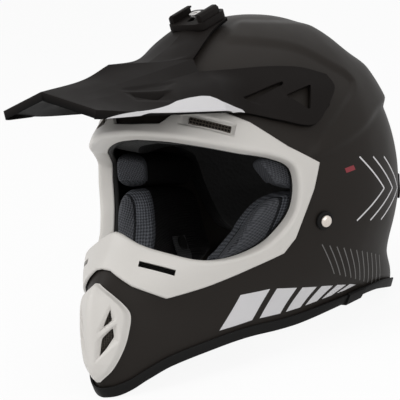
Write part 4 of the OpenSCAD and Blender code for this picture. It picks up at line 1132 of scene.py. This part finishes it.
def cushion_points(front, heights, thick, seam):
    """Cushion with a full front end, sewn across at a depth, and the map of its cloth."""
    n, k = 110, 96
    i = np.linspace(0, 1, n + 1)[:, None] ** 1.5
    end = (1 - 0.9995 * np.abs(2 * i - 1) ** 5) ** 0.18
    th = -2 * np.pi * np.linspace(0, 1, k + 1)[None]
    y = np.sign(np.sin(th)) * np.abs(np.sin(th)) ** 0.5
    x = np.sign(np.cos(th)) * np.abs(np.cos(th)) ** 0.5 * mix(0.62, 1, end)
    mid, half = (heights[0] + heights[1]) / 2, (heights[1] - heights[0]) / 2
    z = mid + half * end * y
    run = i * (PAD_REAR - PAD_START) * np.radians(1) * PAD_RADIUS + 0 * th
    across = thick / 2 * (1 - x)
    near = lambda place, width: np.exp(-((across - place) / width) ** 2)
    groove = 2.4 * near(seam, 1.5) - 1.3 * near(seam - 8, 4.5) - 1.3 * near(seam + 8, 4.5)
    groove = (1 - ramp(run / 16)) * groove
    angle = mix(spline(front, z), PAD_REAR, i) + np.degrees(groove / PAD_RADIUS)
    face = ramp((-x - 0.2) / 0.5)
    bulge = lambda share: np.cos(np.pi / 2 * np.clip(share, -1, 1))
    crown = face * 2.0 * bulge(y) * bulge((run - 50) / 60)
    return inside(angle, z, CHEEK_OFF + across + crown), np.stack([across + run, z + 0 * run], -1)


def dome(edge, off, rows):
    """Crown above an edge: angles, arcs, points off millimetres inside the plain form and normals."""
    angle = np.linspace(0, 360, 161)[:, None]
    s = mix(arc_of(spline(edge, fold(angle))), ARC_PER_DEG * 90, np.linspace(0, 1, rows + 1)[None])
    angle = angle + 0 * s
    normals = outward(plain, angle, np.minimum(s, ARC_PER_DEG * 89))
    return angle, s, plain(angle, s) - off * normals, normals


def make_pads():
    for name, front, heights, thick, seam, cloth in (
            ("cheek", CHEEK_FRONT, CHEEK_HEIGHTS, CHEEK_T, CHEEK_SEAM, CHEEK_CLOTH),
            ("side", SIDE_FRONT, SIDE_HEIGHTS, SIDE_T, NO_SEAM, SIDE_CLOTH)):
        left = close(lattice(*cushion_points(front, heights, thick, seam)), caps=True)
        for pad in pair(f"{name}_cushion", left, cloth, f"{name}_pad", 60):
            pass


def make_crown_pad():
    """Crown pad with sewn radial channels."""
    rows = 40
    angle, s, points, normals = dome(CROWN_EDGE, LINING_OFF + FOAM_T + FORM_SEAT, rows)
    share = np.linspace(0, 1, rows + 1)[None]
    dent = 3.0 * np.abs(cosd(angle * 4)) ** 30 * (1 - share)
    depth = np.maximum(2.5, PAD_T * np.sqrt(np.clip(share * 7 + 0.08, 0, 1)) - dent)
    bm = thicken(lattice(points, np.stack([angle * 1.6, s], -1)), normals, depth)
    piece("crown_cushion", bm, CROWN_CLOTH, ["crown_pad"], crease=60)


def make_neck_roll():
    """Neck roll with gathered ends."""
    start, end, height, length = ROLL_SPAN
    i = np.linspace(0, 1, 121)[:, None]
    th = np.linspace(0, 2 * np.pi, 37)[None]
    radius = ROLL_R * (1 - 0.985 * np.abs(2 * i - 1) ** 6) ** 0.4 * (1 - 0.05 * np.cos(i * np.pi * 10) ** 8)
    roll_off = SHELL_WALL + 0.9 + ROLL_R
    points = inside(mix(start, end, i), height - radius * np.sin(th), roll_off - radius * np.cos(th))
    uv = np.stack(np.broadcast_arrays(i * length, th * ROLL_R), -1)
    roll = close(lattice(points, uv), caps=True)
    piece("nape_roll", roll, CROWN_CLOTH, ["neck_roll"], crease=60)


def make_foam():
    _, _, points, normals = dome(FOAM_EDGE, LINING_OFF, 60)
    bm = soften(thicken(lattice(points), normals, FOAM_T), 3, 60, 3)
    piece("crown_foam", bm, FOAM, ["impact_liner"], crease=50)
    # The chin foam's columns leave out the keel, where depths would cross
    side = np.linspace(2, 26, 40)
    a = np.concatenate([-side[::-1], side])
    low, high = rim_z(a) + TRIM_H + 1.5, spline(CHIN_FOAM_TOP, np.abs(a))
    heights = (low, mix(low, high, 0.5), high)

    def layer(z, depth):
        p = inside(a, z, LINING_OFF + 0.9)
        return p + depth * unit(((0, CHIN_FOAM_AIM, 0) - p) * (1, 1, 0))

    corners = [layer(z, CHIN_FOAM_T) for z in heights] + [layer(z, 0) for z in heights[::-1]]
    piece("chin_block", cut(loft(corners, 3.0), mouth_plug(2.0)), FOAM, ["chin_foam"], crease=50)


# Chin strap and its rivets

def strap_places(route, x):
    """Middle line of a strap and the direction of its width."""
    depth, z = chain(route, x).T
    s = arc_of(z)
    angle = np.full(s.shape, RIVET[0])
    middle = form(angle, s) - depth[:, None] * outward(form, angle, s)
    return middle, unit(form(angle + 0.5, s) - form(angle - 0.5, s))


def webbing(route):
    """Strap of webbing along a route, with the map of its weave."""
    middle, side = strap_places(route, np.linspace(0, len(route) - 1, 18 * (len(route) - 1) + 1))
    run = unit(np.gradient(middle, axis=0))
    face = unit(np.cross(side, run))
    half = np.array([(-1, 1), (1, 1), (1, -1), (-1, -1)]) * (STRAP_W / 2, STRAP_T / 2)
    outline = fillet(half, 0.8, 4)
    outline = np.concatenate([outline, outline[:1]])
    points = (middle[:, None] + outline[None, :, :1] * side[:, None] + outline[None, :, 1:] * face[:, None])
    length = np.concatenate([[0], np.cumsum(np.linalg.norm(np.diff(middle, axis=0), axis=-1))])
    uv = np.stack(np.broadcast_arrays(length[:, None], outline[None, :, 0]), -1)
    return close(lattice(points, uv), caps=True)


def make_straps():
    piece("strap_short", webbing(SHORT_ROUTE), WEBBING, ["strap_left"])
    piece("strap_long", flip(webbing(LONG_ROUTE)), WEBBING, ["strap_right"])
    # The short strap's end is folded round the bars of the two rings
    middle, side = strap_places(SHORT_ROUTE, np.array([len(SHORT_ROUTE) - 1.0]))
    p, w = middle[0], side[0]
    v = unit(PLUMB - w * (PLUMB @ w))
    q = np.cross(w, v)
    p = p - v * LOOP_H / 2
    first, second = [(p + k * q * RING_PITCH / 2, v, q, w) for k in (-1, 1)]
    loop = prism(second, slot_outline(LOOP_H, RING_PITCH), -STRAP_W / 2, STRAP_W / 2)
    bars = [prism(axes, circle(RING_BAR / 2 + 0.1, 24), -STRAP_W, STRAP_W) for axes in (first, second)]
    piece("strap_fold", cut(soften(loop, 0.6, 60), *bars), WEBBING, ["strap_left"])


def make_rivets():
    axes = shell_axes(*RIVET)
    tail = -STRAP_OFF - STRAP_T / 2 - 0.3
    # Profiles: a radius and a height above the shell
    rivet = [(0, tail - 1.2), (3.9, tail - 1.2), (4.25, tail - 0.9), (4.25, tail), (2.5, tail), (2.5, 3),
             (4.6, 3), (4.75, 3.2), (4.75, 3.7), (4.6, 4.2), (4.2, 4.7), (3.5, 5.15), (2.5, 5.5), (1.3, 5.72),
             (0, 5.8)]
    ring = [(2.6, 0.4), (7.3, 0.4), (7.5, 0.6), (7.5, 1.3), (7.3, 2.0), (6.8, 2.55), (6.1, 2.85), (5.4, 2.9),
            (2.6, 2.9), (2.6, 0.4)]
    for name, profile, finish, slot, node in (("rivet_heads", rivet, RIVET_STEEL, "steel", "strap_rivets"),
                                              ("rivet_rings", ring, RUBBER, "mesh", "rivet_washers")):
        piece(name, both(turned(axes, profile)), finish, [node], crease=50)


# Painted lines and bars, thin on the shell

PAINT_PROUD = 0.12
PAINT_T = 0.3


def paint_patch(places):
    """A thin layer of paint over an array of angles and heights."""
    angle, s = places[..., 0], arc_of(places[..., 1])
    normals = outward(form, angle, s)
    return thicken(lattice(form(angle, s) + PAINT_PROUD * normals), normals, PAINT_T)


def bar(corners, n=30, m=12):
    """Four-cornered bar."""
    a, b, c, d = np.array(corners, float)
    t, k = np.linspace(0, 1, n + 1)[:, None, None], np.linspace(0, 1, m + 1)[None, :, None]
    return paint_patch(mix(mix(a, b, t), mix(d, c, t), k))


def stroke(start, end, width):
    """Straight line of one width."""
    a, b = np.array(start, float), np.array(end, float)
    scale = np.array([2.0, 1.0])
    run = unit((b - a) * scale)
    side = np.array([-run[1], run[0]]) / scale * width / 2
    return bar([a - side, b - side, b + side, a + side], 40, 2)


def make_paint():
    white = []
    # Flash of slanted bars that shrink towards the back
    start = 26.0
    for width, tall in ((11, 27), (9.5, 23), (8, 19), (7, 15), (6, 11), (5, 7)):
        end = start + width
        low = rim_z(np.array([start, end])) + TRIM_H + 4
        white.append(bar([(start, low[0]), (end, low[1]), (end + 7, low[1] + tall - 3),
                          (start + 7, low[0] + tall)]))
        start = end + 3
    # Nested chevrons behind the rivet
    white += [stroke((82 + 8 * k, z), (97 + 8 * k, 161), 1.3) for k in range(3) for z in (186, 136)]
    # Slanted hatching low at the back
    grey = [stroke((66 + 4 * k, 118 - 1.1 * k), (76 + 4 * k, 94 - 1.3 * k), 0.9) for k in range(11)]
    red = [bar([(74, 177), (78.5, 179.5), (79.3, 176), (74.8, 173.5)], 12, 8)]
    for name, patches, finish, slot in (("white_lines", white, PAINT_WHITE, "white"),
                                        ("grey_lines", grey, PAINT_GREY, "shell"),
                                        ("red_mark", red, PAINT_RED, "shell")):
        piece(name, both(join(*patches)), finish)


# Camera, light and floor

def make_camera():
    """The photograph's view, worked out level and then tipped back with the helmet."""
    azimuth, elevation, distance, scale = math.radians(39), math.radians(1.5), 1800.0, 1.22
    frame_px, axis_px, axis_height, axis_y = 400, 250, 150.0, -5.0
    back = np.array([math.sin(azimuth) * math.cos(elevation), -math.cos(azimuth) * math.cos(elevation),
                     math.sin(elevation)])
    right = np.array([math.cos(azimuth), math.sin(azimuth), 0])
    target = (frame_px / 2 - axis_px) / scale * right + (0, axis_y, axis_height)
    eye, to_back, to_right = (stand(p) for p in (target + distance * back, target + (distance + 1000) * back,
                                                 target + distance * back + 1000 * right))
    z = unit(to_back - eye)
    x = unit(to_right - eye)
    y = np.cross(z, x)
    data = bpy.data.cameras.new("camera")
    data.lens = data.sensor_width * distance / (frame_px / scale)
    camera = bpy.data.objects.new("camera", data)
    camera.matrix_world = Matrix([(x[k], y[k], z[k], eye[k]) for k in range(3)] + [(0, 0, 0, 1)])
    scene.collection.objects.link(camera)
    scene.camera = camera


def make_stage():
    for name, place, size, power in (("key", (-0.9, -1.5, 1.7), 1.4, 26), ("fill", (1.9, -0.9, 1.0), 1.6, 15),
                                     ("top", (0.3, 0.6, 2.0), 1.6, 6)):
        data = bpy.data.lights.new(name, "AREA")
        data.shape = "DISK"
        data.size = size
        data.energy = power
        lamp = bpy.data.objects.new(name, data)
        lamp.location = place
        lamp.rotation_euler = (Vector((0, 0, 0.14)) - Vector(place)).to_track_quat("-Z", "Y").to_euler()
        scene.collection.objects.link(lamp)

    def seen(wire):
        """1 for rays that show the background, by eye, mirror or glass, and 0 for those that light."""
        path = wire.tree.nodes.new("ShaderNodeLightPath")
        eye, mirror, glass = [Wire(wire.tree, path.outputs[f"Is {kind} Ray"])
                              for kind in ("Camera", "Glossy", "Transmission")]
        total = eye + mirror + glass
        return total.math("MINIMUM", total, 1.0)

    world = bpy.data.worlds.new("studio")
    scene.world = world
    world.use_nodes = True
    tree = world.node_tree
    start = Wire(tree, None)
    ambient = 0.42
    strength = seen(start) * (1 - ambient) + ambient
    tree.links.new(strength.socket, tree.nodes["Background"].inputs["Strength"])
    tree.nodes["Background"].inputs["Color"].default_value = (1, 1, 1, 1)

    bm = bmesh.new()
    bmesh.ops.create_grid(bm, x_segments=1, y_segments=1, size=6)
    mesh = bpy.data.meshes.new("floor")
    bm.to_mesh(mesh)
    bm.free()
    floor = bpy.data.objects.new("floor", mesh)
    floor.location.z = -0.0006
    scene.collection.objects.link(floor)
    pale = bpy.data.materials.new("pale_floor")
    pale.use_nodes = True
    tree = pale.node_tree
    shader = tree.nodes["Principled BSDF"]
    shader.inputs["Base Color"].default_value = (0.9, 0.9, 0.9, 1)
    shader.inputs["Roughness"].default_value = 1
    shader.inputs["Specular IOR Level"].default_value = 0
    start = Wire(tree, None)
    glow = start.node("ShaderNodeEmission", None, {"Color": (1, 1, 1, 1), "Strength": 1.0})
    mixed = start.node("ShaderNodeMixShader", None,
                       {0: seen(start) * 0.92, 1: Wire(tree, shader.outputs[0]), 2: glow})
    tree.links.new(mixed.socket, tree.nodes["Material Output"].inputs["Surface"])
    mesh.materials.append(pale)


def dress_cad():
    """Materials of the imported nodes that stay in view."""
    finishes = {"peak_screw": STEEL, "peak_nut": STEEL, "peak_studs": RUBBER, "pad_snaps": RUBBER,
                "strap_snap": RUBBER, "ring_outer": STEEL, "ring_inner": STEEL, "anchor_plates": STEEL}
    for name, finish in finishes.items():
        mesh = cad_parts[name].data
        mesh.materials.clear()
        mesh.materials.append(finish)


make_camera()
make_shell()
make_frame()
make_mouth_vent()
make_nets()
make_trim("front_rim_rubber", -90, 90, "rim_trim")
make_trim("rear_rim_rubber", 90.3, 269.7, "neck_trim")
make_seal()
make_rear_vents()
make_peak()
make_strip()
make_mount()
make_pads()
make_crown_pad()
make_neck_roll()
make_foam()
make_straps()
make_rivets()
make_paint()
dress_cad()
make_stage()
